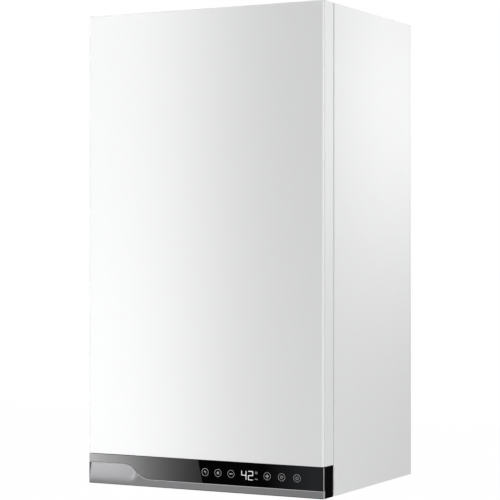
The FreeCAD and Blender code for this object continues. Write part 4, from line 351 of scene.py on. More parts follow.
def rolled(finish, lines, low, high):
    """Fine lines along X, so many to a metre, as rolls leave them on sheet."""
    stretch = finish.nodes.new("ShaderNodeMapping")
    stretch.inputs["Scale"].default_value = (lines / ROLL_STRETCH, lines, lines)
    finish.links.new(finish.place, stretch.inputs["Vector"])
    streaks = finish.nodes.new("ShaderNodeTexNoise")
    streaks.inputs["Scale"].default_value = 1
    finish.links.new(stretch.outputs["Vector"], streaks.inputs["Vector"])
    tint_between(finish, low, high, streaks.outputs["Fac"])
    return finish


print("a rolled line is", ROLL_STRETCH, "times as long as wide")

# %% [markdown]
# The metals follow. Sheet and screws are plated, tubes are drawn copper, and the valves are castings of brass
# and aluminium. One grey for all would make a toy of the boiler, so each has its own tone and roughness, and
# the castings get a coarse bump from the sand of their mould.

# %% Metals of the inside
zinc_sheet = flaked(
    new_finish("zinc_sheet", (0.45, 0.46, 0.47), 0.45, 0.8, grain=300),
    190, (0.40, 0.41, 0.42), (0.51, 0.52, 0.53),
)
steel_sheet = rolled(
    new_finish("stainless_sheet", (0.36, 0.36, 0.355), 0.36, 0.95, grain=900),
    1800, (0.315, 0.313, 0.307), (0.375, 0.375, 0.368),
)
brass_cast = clouded(
    new_finish("brass_casting", (0.6, 0.43, 0.18), 0.42, 0.9, grain=1100, bump=0.15),
    60, (0.50, 0.34, 0.14), (0.66, 0.48, 0.22),
)
copper_tube = clouded(
    new_finish("copper_tube", (0.6, 0.3, 0.18), 0.3, 1, grain=500),
    45, (0.50, 0.22, 0.13), (0.72, 0.38, 0.25),
)
cast_aluminium = clouded(
    new_finish("cast_aluminium", (0.6, 0.6, 0.61), 0.5, 0.8, grain=1500, bump=0.2),
    40, (0.54, 0.54, 0.55), (0.64, 0.64, 0.65),
)
zinc_screw = clouded(
    new_finish("plated_screw", (0.66, 0.66, 0.64), 0.28, 1, grain=900),
    200, (0.6, 0.6, 0.56), (0.72, 0.72, 0.7),
)
print("finishes so far", len(bpy.data.materials))

# %% [markdown]
# Pump and motors are painted iron, the expansion vessel is red, and the chamber is lined with pale fibre
# board and sealed with foam. All of them could be plain colours, but paint gathers in clouds, fibre is rough,
# and glazed ceramic is smooth. So each gets its own clouds, and only the small pane over the flame is clear.

# %% Paints, linings and the sight pane
painted_iron = clouded(
    new_finish("painted_casting", (0.05, 0.05, 0.055), 0.45, grain=900, bump=0.25),
    50, (0.035, 0.036, 0.04), (0.06, 0.06, 0.065),
)
vessel_red = clouded(
    new_finish("red_paint", (0.45, 0.02, 0.015), 0.35, grain=700, bump=0.05),
    18, (0.40, 0.018, 0.014), (0.48, 0.026, 0.02),
)
foam_seal = clouded(
    new_finish("foam_seal", (0.05, 0.05, 0.05), 0.85, grain=2500, bump=0.5),
    400, (0.035, 0.035, 0.035), (0.065, 0.065, 0.065),
)
fibre_board = clouded(
    new_finish("fibre_board", (0.75, 0.72, 0.64), 0.95, grain=1800, bump=0.6),
    120, (0.66, 0.62, 0.54), (0.78, 0.76, 0.70),
)
glazed_ceramic = clouded(
    new_finish("glazed_ceramic", (0.85, 0.83, 0.78), 0.15, grain=300),
    80, (0.80, 0.78, 0.72), (0.87, 0.85, 0.81),
)
sight_pane = new_finish(
    "sight_pane", (0.7, 0.78, 0.76), 0.06, grain=40, rough_play=0.03, bump=0, Transmission_Weight=0.85,
)
print("finishes so far", len(bpy.data.materials))

# %% [markdown]
# Trays, caps, coils and knobs are moulded plastic. Their moulds are spark eroded, which leaves a fine matt
# texture on every part. Five separate recipes would repeat themselves, so one helper makes the plastic and
# only the colour changes.

# %% Moulded plastics
SHADE = 0.88


def moulded(name, color):
    """A matt moulded plastic with the fine texture of its mould."""
    low = tuple(SHADE * part for part in color)
    return clouded(new_finish(name, color, 0.5, grain=2600, bump=0.12), 90, low, color)


black_plastic = moulded("black_plastic", (0.02, 0.02, 0.021))
white_plastic = moulded("white_plastic", (0.74, 0.74, 0.71))
grey_plastic = moulded("grey_plastic", (0.2, 0.205, 0.21))
red_plastic = moulded("red_plastic", (0.5, 0.02, 0.015))
blue_plastic = moulded("blue_plastic", (0.02, 0.08, 0.32))
print("finishes so far", len(bpy.data.materials))

# %% [markdown]
# A circuit board is green lacquer over copper tracks, and the tracks show as paler lines. Drawing them as
# faces would cost thousands. A brick pattern with long flat bricks gives them instead: its joints are the
# tracks, and its odd offset keeps them from lining up.

# %% Circuit board
TRACKS = {"Scale": 90, "Brick Width": 3.2, "Row Height": 0.16, "Mortar Size": 0.018,
          "Color1": (0.012, 0.11, 0.04, 1), "Color2": (0.016, 0.14, 0.05, 1), "Mortar": (0.04, 0.24, 0.09, 1)}
board_green = new_finish("circuit_board", (0.02, 0.15, 0.06), 0.35, grain=200)
tracks = board_green.nodes.new("ShaderNodeTexBrick")
tracks.offset = 0.37
for key, value in TRACKS.items():
    tracks.inputs[key].default_value = value
board_green.links.new(board_green.place, tracks.inputs["Vector"])
board_green.links.new(tracks.outputs["Color"], board_green.shader.inputs["Base Color"])
print("all finishes", len(bpy.data.materials))

# %% [markdown]
# Nodes whose shape is right stay as they are and only get a finish. Each could be dressed in a line of its
# own, but a list of finishes and their nodes reads like a parts list, and the count shows that none is
# left bare.

# %% Dress the nodes
DRESSING = [
    (white_coat, ["front_cover", "left_side_panel", "right_side_panel", "top_panel"]),
    (zinc_sheet, ["wall_bracket", "back_panel", "pipe_plate", "chamber_box", "chamber_cover",
                  "hinge_brackets"]),
    (steel_sheet, ["plate_heat_exchanger", "burner", "flue_hood", "fan_housing"]),
    (black_and_painted_shade, ["control_fascia"]),
    (black_plastic, ["control_tray", "control_lid", "pump_terminal_box", "gas_coils", "cable_gland",
                     "flow_sensor", "air_pressure_switch", "board_components"]),
    (window_print_and_painted_reflection, ["touch_window"]),
    (fade_finish, ["fade_panel"]),
    (silver_lacquer, ["lower_trim"]),
    (brass_cast, ["flow_manifold", "return_manifold", "tail_nuts", "safety_valve", "filling_tap",
                  "pressure_sensor", "gas_tail"]),
    (copper_tube, ["flow_pipe", "return_pipe", "gas_pipe", "vessel_pipe", "heat_exchanger"]),
    (cast_aluminium, ["gas_valve", "flue_collar", "fan_impeller", "burner_manifold"]),
    (painted_iron, ["pump_volute", "pump_motor", "fan_motor"]),
    (vessel_red, ["expansion_vessel"]),
    (foam_seal, ["chamber_gasket"]),
    (fibre_board, ["combustion_liner"]),
    (glazed_ceramic, ["electrodes"]),
    (white_plastic, ["diverter_actuator"]),
    (grey_plastic, ["air_vent", "intake_caps"]),
    (red_plastic, ["safety_knob"]),
    (blue_plastic, ["filling_knob"]),
    (board_green, ["main_board", "display_board"]),
    (sight_pane, ["sight_glass"]),
    (zinc_screw, ["chamber_screws"]),
]
for finish, names in DRESSING:
    for name in names:
        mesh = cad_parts[name].data
        mesh.materials.clear()
        mesh.materials.append(finish.material)
dressed = sum(len(names) for finish, names in DRESSING)
print("dressed", dressed, "of", len(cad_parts))

# %% [markdown]
# ## The front cover
# The real cover is one sheet, folded into a shallow tray and coated. Its face runs into the returned edges in
# a small radius. It could be a plain box with a bevel, but a folded sheet shows its thin rear edge when it is
# lifted off. So the box is opened at the back first, and it gets its thickness last. Where the two radii
# meet, the bevels leave doubled points, which are merged.

# %% Open the tray and round its front
EDGE_RADIUS, LOWER_RADIUS = 3.0, 1.5
low, high = (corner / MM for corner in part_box("front_cover"))
cover = start_block("cover_sheet", low, high)
pick(cover, "FACE", lambda place, way: way.y > FACING)
bpy.ops.mesh.delete(type="FACE")


def on_front(place, way):
    """True for an edge that lies in the cover's face."""
    return abs(way.y) < NEAR and place.y < low.y + NEAR


pick(cover, "EDGE", lambda place, way: on_front(place, way) and place.z > low.z + NEAR)
bpy.ops.mesh.bevel(offset=EDGE_RADIUS * MM, segments=6, affect="EDGES")
pick(cover, "EDGE", lambda place, way: on_front(place, way) and place.z < low.z + NEAR)
bpy.ops.mesh.bevel(offset=LOWER_RADIUS * MM, segments=4, affect="EDGES")
bpy.ops.mesh.select_all(action="SELECT")
bpy.ops.mesh.remove_doubles(threshold=NEAR * MM)
print("cover in mm", [round(side, 1) for side in high - low])

# %% [markdown]
# A fine groove behind the rounded edge throws the dark line that parts the face from the sides. The line
# could be painted, but paint wouldn't change with the light. So three cuts divide the returned edges, the
# faces between the first two are pushed in, and the lower edge keeps only a narrow flange.

# %% Groove, flange and thickness of the sheet
GROOVE_FRONT, GROOVE_BACK, GROOVE_DEPTH = 3.1, 5.8, 2.4
FLANGE_DEPTH = 12.0
SHEET = 1.0
for depth in (GROOVE_FRONT, GROOVE_BACK, FLANGE_DEPTH):
    cut_across(1, low.y + depth)
pick(cover, "FACE", lambda place, way: way.z < -FACING and place.y > low.y + FLANGE_DEPTH)
bpy.ops.mesh.delete(type="FACE")


def in_groove(place, way):
    """True for a face of the sides that lies between the first two cuts."""
    return abs(way.x) > FACING and low.y + GROOVE_FRONT < place.y < low.y + GROOVE_BACK


print("grooves", pick(cover, "FACE", in_groove))
bpy.ops.mesh.inset(thickness=0, depth=-GROOVE_DEPTH * MM)
use_modifier(cover, "SOLIDIFY", thickness=SHEET * MM, offset=-1)

# %% [markdown]
# Under its top edge the cover has a strip that hooks over the shelf of the casing. It could be folded from
# the same faces, but a real one is a bar that is spot welded on, so it is made as a bar with a softened lower
# edge and joined to the tray.

# %% Hook strip of the cover
HOOK_HALF, HOOK_HEIGHT, HOOK_SOFT = 174.7, 8.0, 0.3


def join_pieces(name, parts):
    """Join several parts into one piece."""
    clear_desk()
    for part in parts:
        part.select_set(True)
    bpy.context.view_layer.objects.active = parts[0]
    bpy.ops.object.join()
    bpy.context.object.name = name
    return bpy.context.object


hook_top = high.z - SHEET
hook = start_block(
    "cover_hook", (-HOOK_HALF, high.y - SHEET, hook_top - HOOK_HEIGHT), (HOOK_HALF, high.y, hook_top),
)
pick(hook, "EDGE", lambda place, way: abs(way.x) > 1 and place.z < hook_top - HOOK_HEIGHT + NEAR)
bpy.ops.mesh.bevel(offset=HOOK_SOFT * MM, segments=2, affect="EDGES")
cover = join_pieces("cover_sheet", [cover, hook])
close_piece(cover, white_coat, "cover", ["front_cover"])

# %% [markdown]
# ## The control strip
# Three inlays lie side by side on the black fascia, and their outlines share an S-curve. A curve object could
# draw them, but then the arcs would only be near the true ones. So one helper draws an outline the way a hand
# would: a single point is extruded along straight runs and spun around the arcs, the ring of edges is filled,
# and the face is drawn out to its thickness.

# %% A helper that draws plates
ARC_STEPS = 24


def draw_plate(name, start, moves, front, back):
    """A plate facing front. A move is ("line", x, z) or ("arc", centre x, centre z, degrees clockwise)."""
    clear_desk()
    here = Vector((start[0], front, start[1]))
    bpy.ops.mesh.primitive_plane_add(size=1 * MM, location=here * MM)
    plate = bpy.context.object
    plate.name = name
    bpy.ops.object.transform_apply(location=True)
    bpy.ops.object.mode_set(mode="EDIT")
    bpy.ops.mesh.select_mode(type="VERT")
    bpy.ops.mesh.select_all(action="SELECT")
    bpy.ops.mesh.merge(type="COLLAPSE")
    bpy.ops.mesh.select_all(action="SELECT")
    for kind, x, z, *turn in moves:
        there = Vector((x, front, z))
        if kind == "line":
            bpy.ops.mesh.extrude_region_move(TRANSFORM_OT_translate={"value": (there - here) * MM})
            here = there
            continue
        angle = -math.radians(turn[0])
        bpy.ops.mesh.spin(steps=ARC_STEPS, angle=angle, center=there * MM, axis=(0, 1, 0))
        bpy.ops.object.mode_set(mode="OBJECT")
        here = next(point.co / MM for point in plate.data.vertices if point.select)
        bpy.ops.object.mode_set(mode="EDIT")
    bpy.ops.mesh.select_all(action="SELECT")
    bpy.ops.mesh.remove_doubles(threshold=NEAR * MM)
    bpy.ops.mesh.edge_face_add()
    bpy.ops.mesh.extrude_region_move(TRANSFORM_OT_translate={"value": (0, (back - front) * MM, 0)})
    bpy.ops.mesh.select_all(action="SELECT")
    bpy.ops.mesh.normals_make_consistent(inside=False)
    bpy.ops.object.mode_set(mode="OBJECT")
    return plate


print("steps in each arc", ARC_STEPS)

# %% [markdown]
# The S-curve is two equal arcs that meet halfway and run level at both ends. Its radius could be tried until
# it fits, but it follows from the run and the drop alone, so it is worked out. The heights come from the
# nodes that the plates will stand for.

# %% Measure the S-curve
CURVE_LEFT, CURVE_RIGHT = -140.0, -90.0
STRIP_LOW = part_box("lower_trim")[0] / MM
STRIP_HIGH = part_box("touch_window")[1] / MM
LOBE_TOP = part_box("lower_trim")[1].z / MM
TRIM_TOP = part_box("touch_window")[0].z / MM
run, drop = CURVE_RIGHT - CURVE_LEFT, LOBE_TOP - TRIM_TOP
CURVE_RADIUS = (run ** 2 + drop ** 2) / (4 * drop)
CURVE_ANGLE = math.degrees(math.asin(run / 2 / CURVE_RADIUS))
print("S-curve radius", round(CURVE_RADIUS, 2), "angle", round(CURVE_ANGLE, 2))

# %% [markdown]
# The touch window is a clear sheet with a slanted left end, and its cut right end shows as a thin light line.
# That line is a painted highlight on the sheet's thickness: the plate is cut near its front, and only the
# end faces in front of the cut get the lighter finish.

# %% Touch window and its painted end highlight
WINDOW_FOOT, WINDOW_HEAD = 0.5, -7.5
WINDOW_SOFT = 0.35
HIGHLIGHT_DEPTH = 1.6
END_ON = 0.5


def give_finishes(piece, *finishes):
    """Hang finishes on a piece; the first one covers it all."""
    clear_desk()
    for finish in finishes:
        piece.data.materials.append(finish.material)


def paint_faces(piece, finish, test):
    """Give another of its finishes to the faces of a piece that pass a test."""
    pick(piece, "FACE", test)
    piece.active_material_index = piece.data.materials.find(finish.material.name)
    bpy.ops.object.material_slot_assign()


window_front, inlay_back = (corner.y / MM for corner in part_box("touch_window"))
window = draw_plate(
    "touch_glass", (WINDOW_FOOT, TRIM_TOP),
    [("line", STRIP_HIGH.x, TRIM_TOP), ("line", STRIP_HIGH.x, STRIP_HIGH.z),
     ("line", WINDOW_HEAD, STRIP_HIGH.z), ("line", WINDOW_FOOT, TRIM_TOP)],
    window_front, inlay_back,
)
pick(window, "EDGE", lambda place, way: place.y < window_front + NEAR)
bpy.ops.mesh.bevel(offset=WINDOW_SOFT * MM, segments=3, affect="EDGES")
cut_across(1, window_front + HIGHLIGHT_DEPTH)
give_finishes(window, window_print_and_painted_reflection, window_end_painted_highlight)
# Painted highlight on the end faces in front of the cut.
paint_faces(window, window_end_painted_highlight, lambda place, way: way.x > END_ON and place.y < window_front + HIGHLIGHT_DEPTH)
close_piece(window, window_print_and_painted_reflection, "control_box", ["touch_window"])

# %% [markdown]
# The smoked inlay fills the strip from the far left to the window. Its lower edge follows the S-curve, with a
# hair's gap to its neighbours. A rectangle behind the trim would do from straight ahead, but from the side
# the gap shows, so the plate is drawn along its true outline.

# %% Fading inlay
INLAY_GAP = 0.2
fade = draw_plate(
    "fade_inlay", (CURVE_LEFT, LOBE_TOP),
    [("arc", CURVE_LEFT, LOBE_TOP - CURVE_RADIUS, CURVE_ANGLE),
     ("arc", CURVE_RIGHT, TRIM_TOP + CURVE_RADIUS, -CURVE_ANGLE),
     ("line", WINDOW_FOOT - INLAY_GAP, TRIM_TOP), ("line", WINDOW_HEAD - INLAY_GAP, STRIP_HIGH.z),
     ("line", STRIP_LOW.x, STRIP_HIGH.z), ("line", STRIP_LOW.x, LOBE_TOP), ("line", CURVE_LEFT, LOBE_TOP)],
    window_front, inlay_back,
)
close_piece(fade, fade_finish, "control_box", ["fade_panel"])

# %% [markdown]
# The silver trim stands a little proud of the inlays, so its chamfered upper edge catches light; a painted
# highlight is added to that edge further on. Its left lobe is hollow behind a thin rim. A hollow could be cut
# out with another solid, but its soft end would come out faceted. So the face is stepped in by a hair behind
# the chamfer, to mark the rim, and a grid of cuts over the lobe makes points that can be moved.

# %% Silver trim
CHAMFER = 0.9
RIM_STEP, RIM_DROP = 0.15, 0.02
LOBE_COLUMNS, LOBE_ROWS = range(-198, -94, 2), range(2, 33, 2)
trim_line, lobe_line = TRIM_TOP - INLAY_GAP, LOBE_TOP - INLAY_GAP
trim = draw_plate(
    "silver_trim", (CURVE_LEFT, lobe_line),
    [("arc", CURVE_LEFT, lobe_line - CURVE_RADIUS, CURVE_ANGLE),
     ("arc", CURVE_RIGHT, trim_line + CURVE_RADIUS, -CURVE_ANGLE),
     ("line", STRIP_HIGH.x, trim_line), ("line", STRIP_HIGH.x, STRIP_LOW.z),
     ("line", STRIP_LOW.x, STRIP_LOW.z), ("line", STRIP_LOW.x, lobe_line), ("line", CURVE_LEFT, lobe_line)],
    STRIP_LOW.y, inlay_back,
)
pick(trim, "EDGE", lambda place, way: place.y < STRIP_LOW.y + NEAR)
bpy.ops.mesh.bevel(offset=CHAMFER * MM, segments=2, affect="EDGES")
pick(trim, "FACE", lambda place, way: way.y < -FACING and place.y < STRIP_LOW.y + NEAR)
bpy.ops.mesh.inset(thickness=RIM_STEP * MM, depth=-RIM_DROP * MM)
for x in LOBE_COLUMNS:
    cut_across(0, x)
for z in LOBE_ROWS:
    cut_across(2, STRIP_LOW.z + z)
clear_desk()
print("trim faces", len(trim.data.polygons))

# %% [markdown]
# The hollow is shaped like clay: every point inside the rim is pushed back by its height above the lobe's
# foot, and less and less towards the right, so it runs out softly under the curve. Brushes of the sculpt mode
# could do this too, but a formula gives the same hollow on each run.

# %% Hollow of the lobe
HOLLOW_DEPTH = 3.0
HOLLOW_FOOT = STRIP_LOW.z + 3.0
HOLLOW_SOFT = 0.12
HOLLOW_RIGHT, RIGHT_FADE, RIGHT_LEAN = -96.0, 14.0, 21.0


def held(value):
    """A value kept between 0 and 1."""
    return min(max(value, 0), 1)


def soft_step(value):
    """A step from 0 to 1 with soft ends."""
    value = held(value)
    return value * value * (3 - 2 * value)


moved = 0
for point in trim.data.vertices:
    place = point.co / MM
    if abs(place.y - STRIP_LOW.y - RIM_DROP) > RIM_DROP / 4:
        continue
    height = held((place.z - HOLLOW_FOOT) / (LOBE_TOP - HOLLOW_FOOT))
    rise = (math.hypot(height, HOLLOW_SOFT) - HOLLOW_SOFT) / (math.hypot(1, HOLLOW_SOFT) - HOLLOW_SOFT)
    lean = RIGHT_LEAN * (1 - height)
    inward = soft_step((HOLLOW_RIGHT - lean - place.x) / RIGHT_FADE)
    point.co.y += HOLLOW_DEPTH * MM * rise * inward
    moved += 1
print("points moved", moved)

# %% [markdown]
# Each edge of the trim gets painted light or shade: the upper chamfer a bright painted highlight, the cut
# right end a lighter grey as a painted highlight, and the lower edge, which turns under, black as painted
# shade.
# Lamps alone could make this difference in one view, but not in all. So the faces are picked by the way they
# face, and each kind gets its painted tone.

# %% Painted highlights and shade on the edges of the trim
EDGE_ON, CUT_ON = 0.3, 0.6
give_finishes(trim, silver_lacquer, trim_end_painted_highlight, chamfer_painted_highlight, black_and_painted_shade)
# Painted highlight on the upper chamfer.
paint_faces(trim, chamfer_painted_highlight, lambda place, way: way.z > EDGE_ON and way.y < -EDGE_ON)
# Painted highlight on the right end.
paint_faces(trim, trim_end_painted_highlight, lambda place, way: way.x > CUT_ON and place.x > STRIP_HIGH.x - 1)
# Painted shade on the lower edge, in the fascia's black.
paint_faces(trim, black_and_painted_shade, lambda place, way: way.z < -EDGE_ON)
close_piece(trim, silver_lacquer, "control_box", ["lower_trim"], smooth=30)

# %% [markdown]
# ## Signs and digits
# The keys are printed signs behind the glass, and the number is lit in bars like any plain display. They could
# be a picture, but a small picture blurs when the camera comes near. So each is built from thin flat bars and
# rings, a tenth of a millimetre in front of the window's face.

# %% Helpers for flat signs
SIGN_THICKNESS = 0.12
SIGN_BACK, SIGN_FRONT = window_front, window_front - SIGN_THICKNESS
RING_STEPS = 48
QUARTER_TURN = math.radians(90)


def flat_bar(x, z, width, height, turn=0.0, round_ends=0.0):
    """A thin printed bar, turned about the line of sight."""
    bar = start_block("bar", (-width / 2, SIGN_FRONT, -height / 2), (width / 2, SIGN_BACK, height / 2))
    if round_ends:
        pick(bar, "EDGE", lambda place, way: abs(way.y) > SIGN_THICKNESS / 2)
        bpy.ops.mesh.bevel(offset=round_ends * MM, segments=4, affect="EDGES")
        bpy.ops.object.mode_set(mode="OBJECT")
    bar.rotation_euler.y = math.radians(turn)
    bar.location = (x * MM, 0, z * MM)
    bpy.ops.object.transform_apply(location=True, rotation=True, scale=True)
    return bar


def flat_ring(x, z, radius, line, gap=0.0):
    """A thin printed ring; a gap in degrees opens it at the top."""
    clear_desk()
    bpy.ops.mesh.primitive_circle_add(
        vertices=RING_STEPS, radius=radius * MM, fill_type="NGON",
        location=(x * MM, SIGN_FRONT * MM, z * MM), rotation=(QUARTER_TURN, 0, 0),
    )
    ring = bpy.context.object
    bpy.ops.object.transform_apply(location=True, rotation=True)
    bpy.ops.object.mode_set(mode="EDIT")
    bpy.ops.mesh.select_all(action="SELECT")
    bpy.ops.mesh.inset(thickness=line * MM)
    bpy.ops.mesh.delete(type="FACE")
    bpy.ops.object.mode_set(mode="OBJECT")
    if gap:
        half = math.radians(gap / 2)
        pick(ring, "FACE", lambda place, way: abs(math.atan2(place.x - x, place.z - z)) < half)
        bpy.ops.mesh.delete(type="FACE")
    use_modifier(ring, "SOLIDIFY", thickness=SIGN_THICKNESS * MM, offset=-1)
    return ring


print("signs stand proud by", SIGN_THICKNESS, "mm")

# %% [markdown]
# Six keys lie on one line: a tap, a sun, minus, plus, a clock and a power sign, each in a ring. Each sign
# could be a function of its own. A table is shorter: a bar is its place in the ring, its width and height and
# its turn, and three of the signs have a ring of their own too.

# %% Six touch keys
KEYS = {"tap": 4.6, "sun": 26.4, "minus": 48.4, "plus": 108.6, "timer": 132.3, "power": 157.4}
KEY_LINE = STRIP_HIGH.z - 17.5
KEY_RING, INK_LINE = 5.6, 0.36
RAY_REACH = 2.2
RAYS = [
    (RAY_REACH * math.sin(math.radians(turn)), RAY_REACH * math.cos(math.radians(turn)), 0.35, 0.8, turn)
    for turn in range(0, 360, 45)
]
SIGN_BARS = {
    "tap": [(-0.4, 0.6, 3.2, 0.7, 0), (1.1, -0.2, 0.7, 2.0, 0), (-0.5, 1.7, 1.6, 0.5, 0),
            (1.1, -2.1, 0.7, 0.7, 45)],
    "sun": RAYS,
    "minus": [(0, 0, 5.0, 1.0, 0)],
    "plus": [(0, 0, 5.8, 0.9, 0), (0, 0, 0.9, 5.8, 0)],
    "timer": [(0, 0.6, 0.35, 1.4, 0), (0.5, 0, 1.1, 0.35, 0)],
    "power": [(0, 1.5, 0.4, 1.9, 0)],
}
SIGN_RINGS = {"sun": (1.3, 1.25, 0), "timer": (2.2, 0.35, 0), "power": (2.3, 0.4, 80)}
parts = [flat_ring(x, KEY_LINE, KEY_RING, INK_LINE) for x in KEYS.values()]
for key, x in KEYS.items():
    if key in SIGN_RINGS:
        parts.append(flat_ring(x, KEY_LINE, *SIGN_RINGS[key]))
    for across, up, *bar in SIGN_BARS[key]:
        parts.append(flat_bar(x + across, KEY_LINE + up, *bar))
keys = join_pieces("touch_signs", parts)
close_piece(keys, sign_white, "control_box")

# %% [markdown]
# A display digit is made of up to seven bars, and the number decides which of them are lit. Text could be
# typed and turned into a mesh, but display digits have square shoulders that fonts don't have. So the bars
# get names, each digit lists the bars that it lights, and their ends are rounded.

# %% Two digits
BARS = {"top": (0, 2, 1), "upper_left": (-1, 1, 0), "upper_right": (1, 1, 0), "middle": (0, 0, 1),
        "lower_left": (-1, -1, 0), "lower_right": (1, -1, 0), "bottom": (0, -2, 1)}
DIGITS = {"4": ("upper_left", "upper_right", "middle", "lower_right"),
          "2": ("top", "upper_right", "middle", "lower_left", "bottom")}
DIGIT_HEIGHT, DIGIT_WIDTH, STROKE = 13.4, 8.2, 0.95
STROKE_ROUND = 0.4
DIGIT_MIDDLE = STRIP_HIGH.z - 18.2
half_width, quarter = (DIGIT_WIDTH - STROKE) / 2, (DIGIT_HEIGHT - STROKE) / 4
LEVEL_BAR = (DIGIT_WIDTH - STROKE * 0.4, STROKE)
UPRIGHT_BAR = (STROKE, 2 * quarter + STROKE * 0.6)
parts = []
for digit, x in (("4", 70.0), ("2", 81.2)):
    for bar in DIGITS[digit]:
        across, up, level = BARS[bar]
        size = LEVEL_BAR if level else UPRIGHT_BAR
        place = (x + across * half_width, DIGIT_MIDDLE + up * quarter)
        parts.append(flat_bar(*place, *size, round_ends=STROKE_ROUND))
digits = join_pieces("display_digits", parts)
close_piece(digits, digit_light, "control_box")

# %% [markdown]
# Beside the number stand two tiny signs, a wave and a square. At this size curves would be wasted, so the wave
# is three slanted bars and the square is four. They are printed in white and don't glow.

# %% Two small signs
WAVE = [(89.2, -4.4, 2.5, 0.6, -35), (90.7, -4.7, 2.5, 0.6, 50), (92.2, -5.0, 2.5, 0.6, -35)]
SQUARE = [(90.6, 5.8, 3.2, 0.45, 0), (89.2, 4.4, 0.45, 2.6, 0), (92.0, 4.4, 0.45, 2.6, 0),
          (90.6, 3.2, 3.2, 0.45, 0)]
parts = [flat_bar(x, DIGIT_MIDDLE + up, *bar) for x, up, *bar in WAVE + SQUARE]
small_signs = join_pieces("display_signs", parts)
close_piece(small_signs, sign_white, "control_box")

# %% [markdown]
# ## Behind the cover
# The plate heat exchanger is a stack of pressed steel plates, brazed together. A block would hide that, and
# plates placed one by one would take long. So one plate is modelled with its round corners and turned rim,
# and an array repeats it through the stack.

# %% Stacked plates of the heat exchanger
PLATE_PITCH, PLATE_CORNER = 2.1, 18.0
RIM_INSET, RIM_RISE = 1.2, 0.5
low, high = (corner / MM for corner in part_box("plate_heat_exchanger"))
plates = start_block("exchanger_plates", low, (high.x, low.y + PLATE_PITCH - RIM_RISE, high.z))
pick(plates, "EDGE", lambda place, way: abs(way.y) > RIM_RISE)
bpy.ops.mesh.bevel(offset=PLATE_CORNER * MM, segments=8, affect="EDGES")
pick(plates, "FACE", lambda place, way: way.y > FACING)
bpy.ops.mesh.inset(thickness=RIM_INSET * MM)
bpy.ops.mesh.extrude_region_move(TRANSFORM_OT_translate={"value": (0, RIM_RISE * MM, 0)})
stack = int((high.y - low.y) / PLATE_PITCH)
use_modifier(
    plates, "ARRAY", count=stack, use_relative_offset=False, use_constant_offset=True,
    constant_offset_displace=(0, PLATE_PITCH * MM, 0),
)
give_finishes(plates, steel_sheet)
print("plates", stack)

# %% [markdown]
# The front plate has a shallow pressed field inside a rim, and a round boss over each of its four ports. The
# bosses could be drawn out of the plate, but its face has no points there to start from. So each boss is a
# low cylinder with a soft shoulder that is set into the field.

# %% Front plate and its bosses
BOSS_RADIUS, BOSS_HEIGHT, SHOULDER = 10, 1.6, 0.45
BOSS_ASIDE, BOSS_UP = 22, 18
FIELD_RIM, FIELD_DEPTH = 4, 1.0


def pressed_boss(x, z, foot):
    """A shallow round boss with a soft shoulder that rises to the front from its foot."""
    clear_desk()
    bpy.ops.mesh.primitive_cylinder_add(
        vertices=40, radius=BOSS_RADIUS * MM, depth=BOSS_HEIGHT * MM,
        location=(x * MM, (foot - BOSS_HEIGHT / 2) * MM, z * MM), rotation=(QUARTER_TURN, 0, 0),
    )
    boss = bpy.context.object
    bpy.ops.object.transform_apply(location=True, rotation=True, scale=True)
    pick(boss, "EDGE", lambda place, way: place.y < foot - BOSS_HEIGHT + NEAR)
    bpy.ops.mesh.bevel(offset=BOSS_HEIGHT * SHOULDER * MM, segments=3, affect="EDGES")
    give_finishes(boss, steel_sheet)
    return boss


bosses = []
for x in (low.x + BOSS_ASIDE, high.x - BOSS_ASIDE):
    for z in (low.z + BOSS_UP, high.z - BOSS_UP):
        bosses.append(pressed_boss(x, z, low.y + BOSS_HEIGHT))
pick(plates, "FACE", lambda place, way: place.y < low.y + NEAR and way.y < -FACING)
bpy.ops.mesh.inset(thickness=FIELD_RIM * MM)
bpy.ops.mesh.extrude_region_move(TRANSFORM_OT_translate={"value": (0, FIELD_DEPTH * MM, 0)})
plates = join_pieces("exchanger_plates", [plates] + bosses)
close_piece(plates, steel_sheet, "casing", ["plate_heat_exchanger"])

# %% [markdown]
# ## Screws and threads
# Small fasteners tell the size of a machine. These are pan head screws with a cross recess. A plain disc would
# do from afar, but not with the cover off. So one head is modelled with care, a cylinder with a rounded rim
# and a cross taken out of its top, and the next cells copy it.

# %% One pan head screw
HEAD_RADIUS, HEAD_HEIGHT, HEAD_ROUND = 3.6, 2.2, 1.1
CROSS_REACH, CROSS_HALF, CROSS_FLOOR, CROSS_TOP = 2.1, 0.5, 0.9, 4
clear_desk()
bpy.ops.mesh.primitive_cylinder_add(
    vertices=32, radius=HEAD_RADIUS * MM, depth=HEAD_HEIGHT * MM, location=(0, 0, HEAD_HEIGHT / 2 * MM),
)
screw = bpy.context.object
screw.name = "pan_head"
bpy.ops.object.transform_apply(location=True)
pick(screw, "EDGE", lambda place, way: place.z > HEAD_HEIGHT - NEAR)
bpy.ops.mesh.bevel(offset=HEAD_ROUND * MM, segments=4, affect="EDGES")
for reach, half in ((CROSS_REACH, CROSS_HALF), (CROSS_HALF, CROSS_REACH)):
    bar = start_block("slot", (-reach, -half, CROSS_FLOOR), (reach, half, CROSS_TOP))
    use_modifier(screw, "BOOLEAN", object=bar, operation="DIFFERENCE")
    bpy.data.objects.remove(bar)
print("screw faces", len(screw.data.polygons))

# %% [markdown]
# Eight screws hold the front plate of the sealed chamber, three along each side. Each could be modelled
# again, or share one mesh. Here the one screw is copied, each copy with its own mesh, turned to face the
# front and joined, so that all of them stand for one node.

# %% Screws of the chamber plate
SCREW_INSET = 4.5
FACE_FRONT, FACE_UP = 90, 0


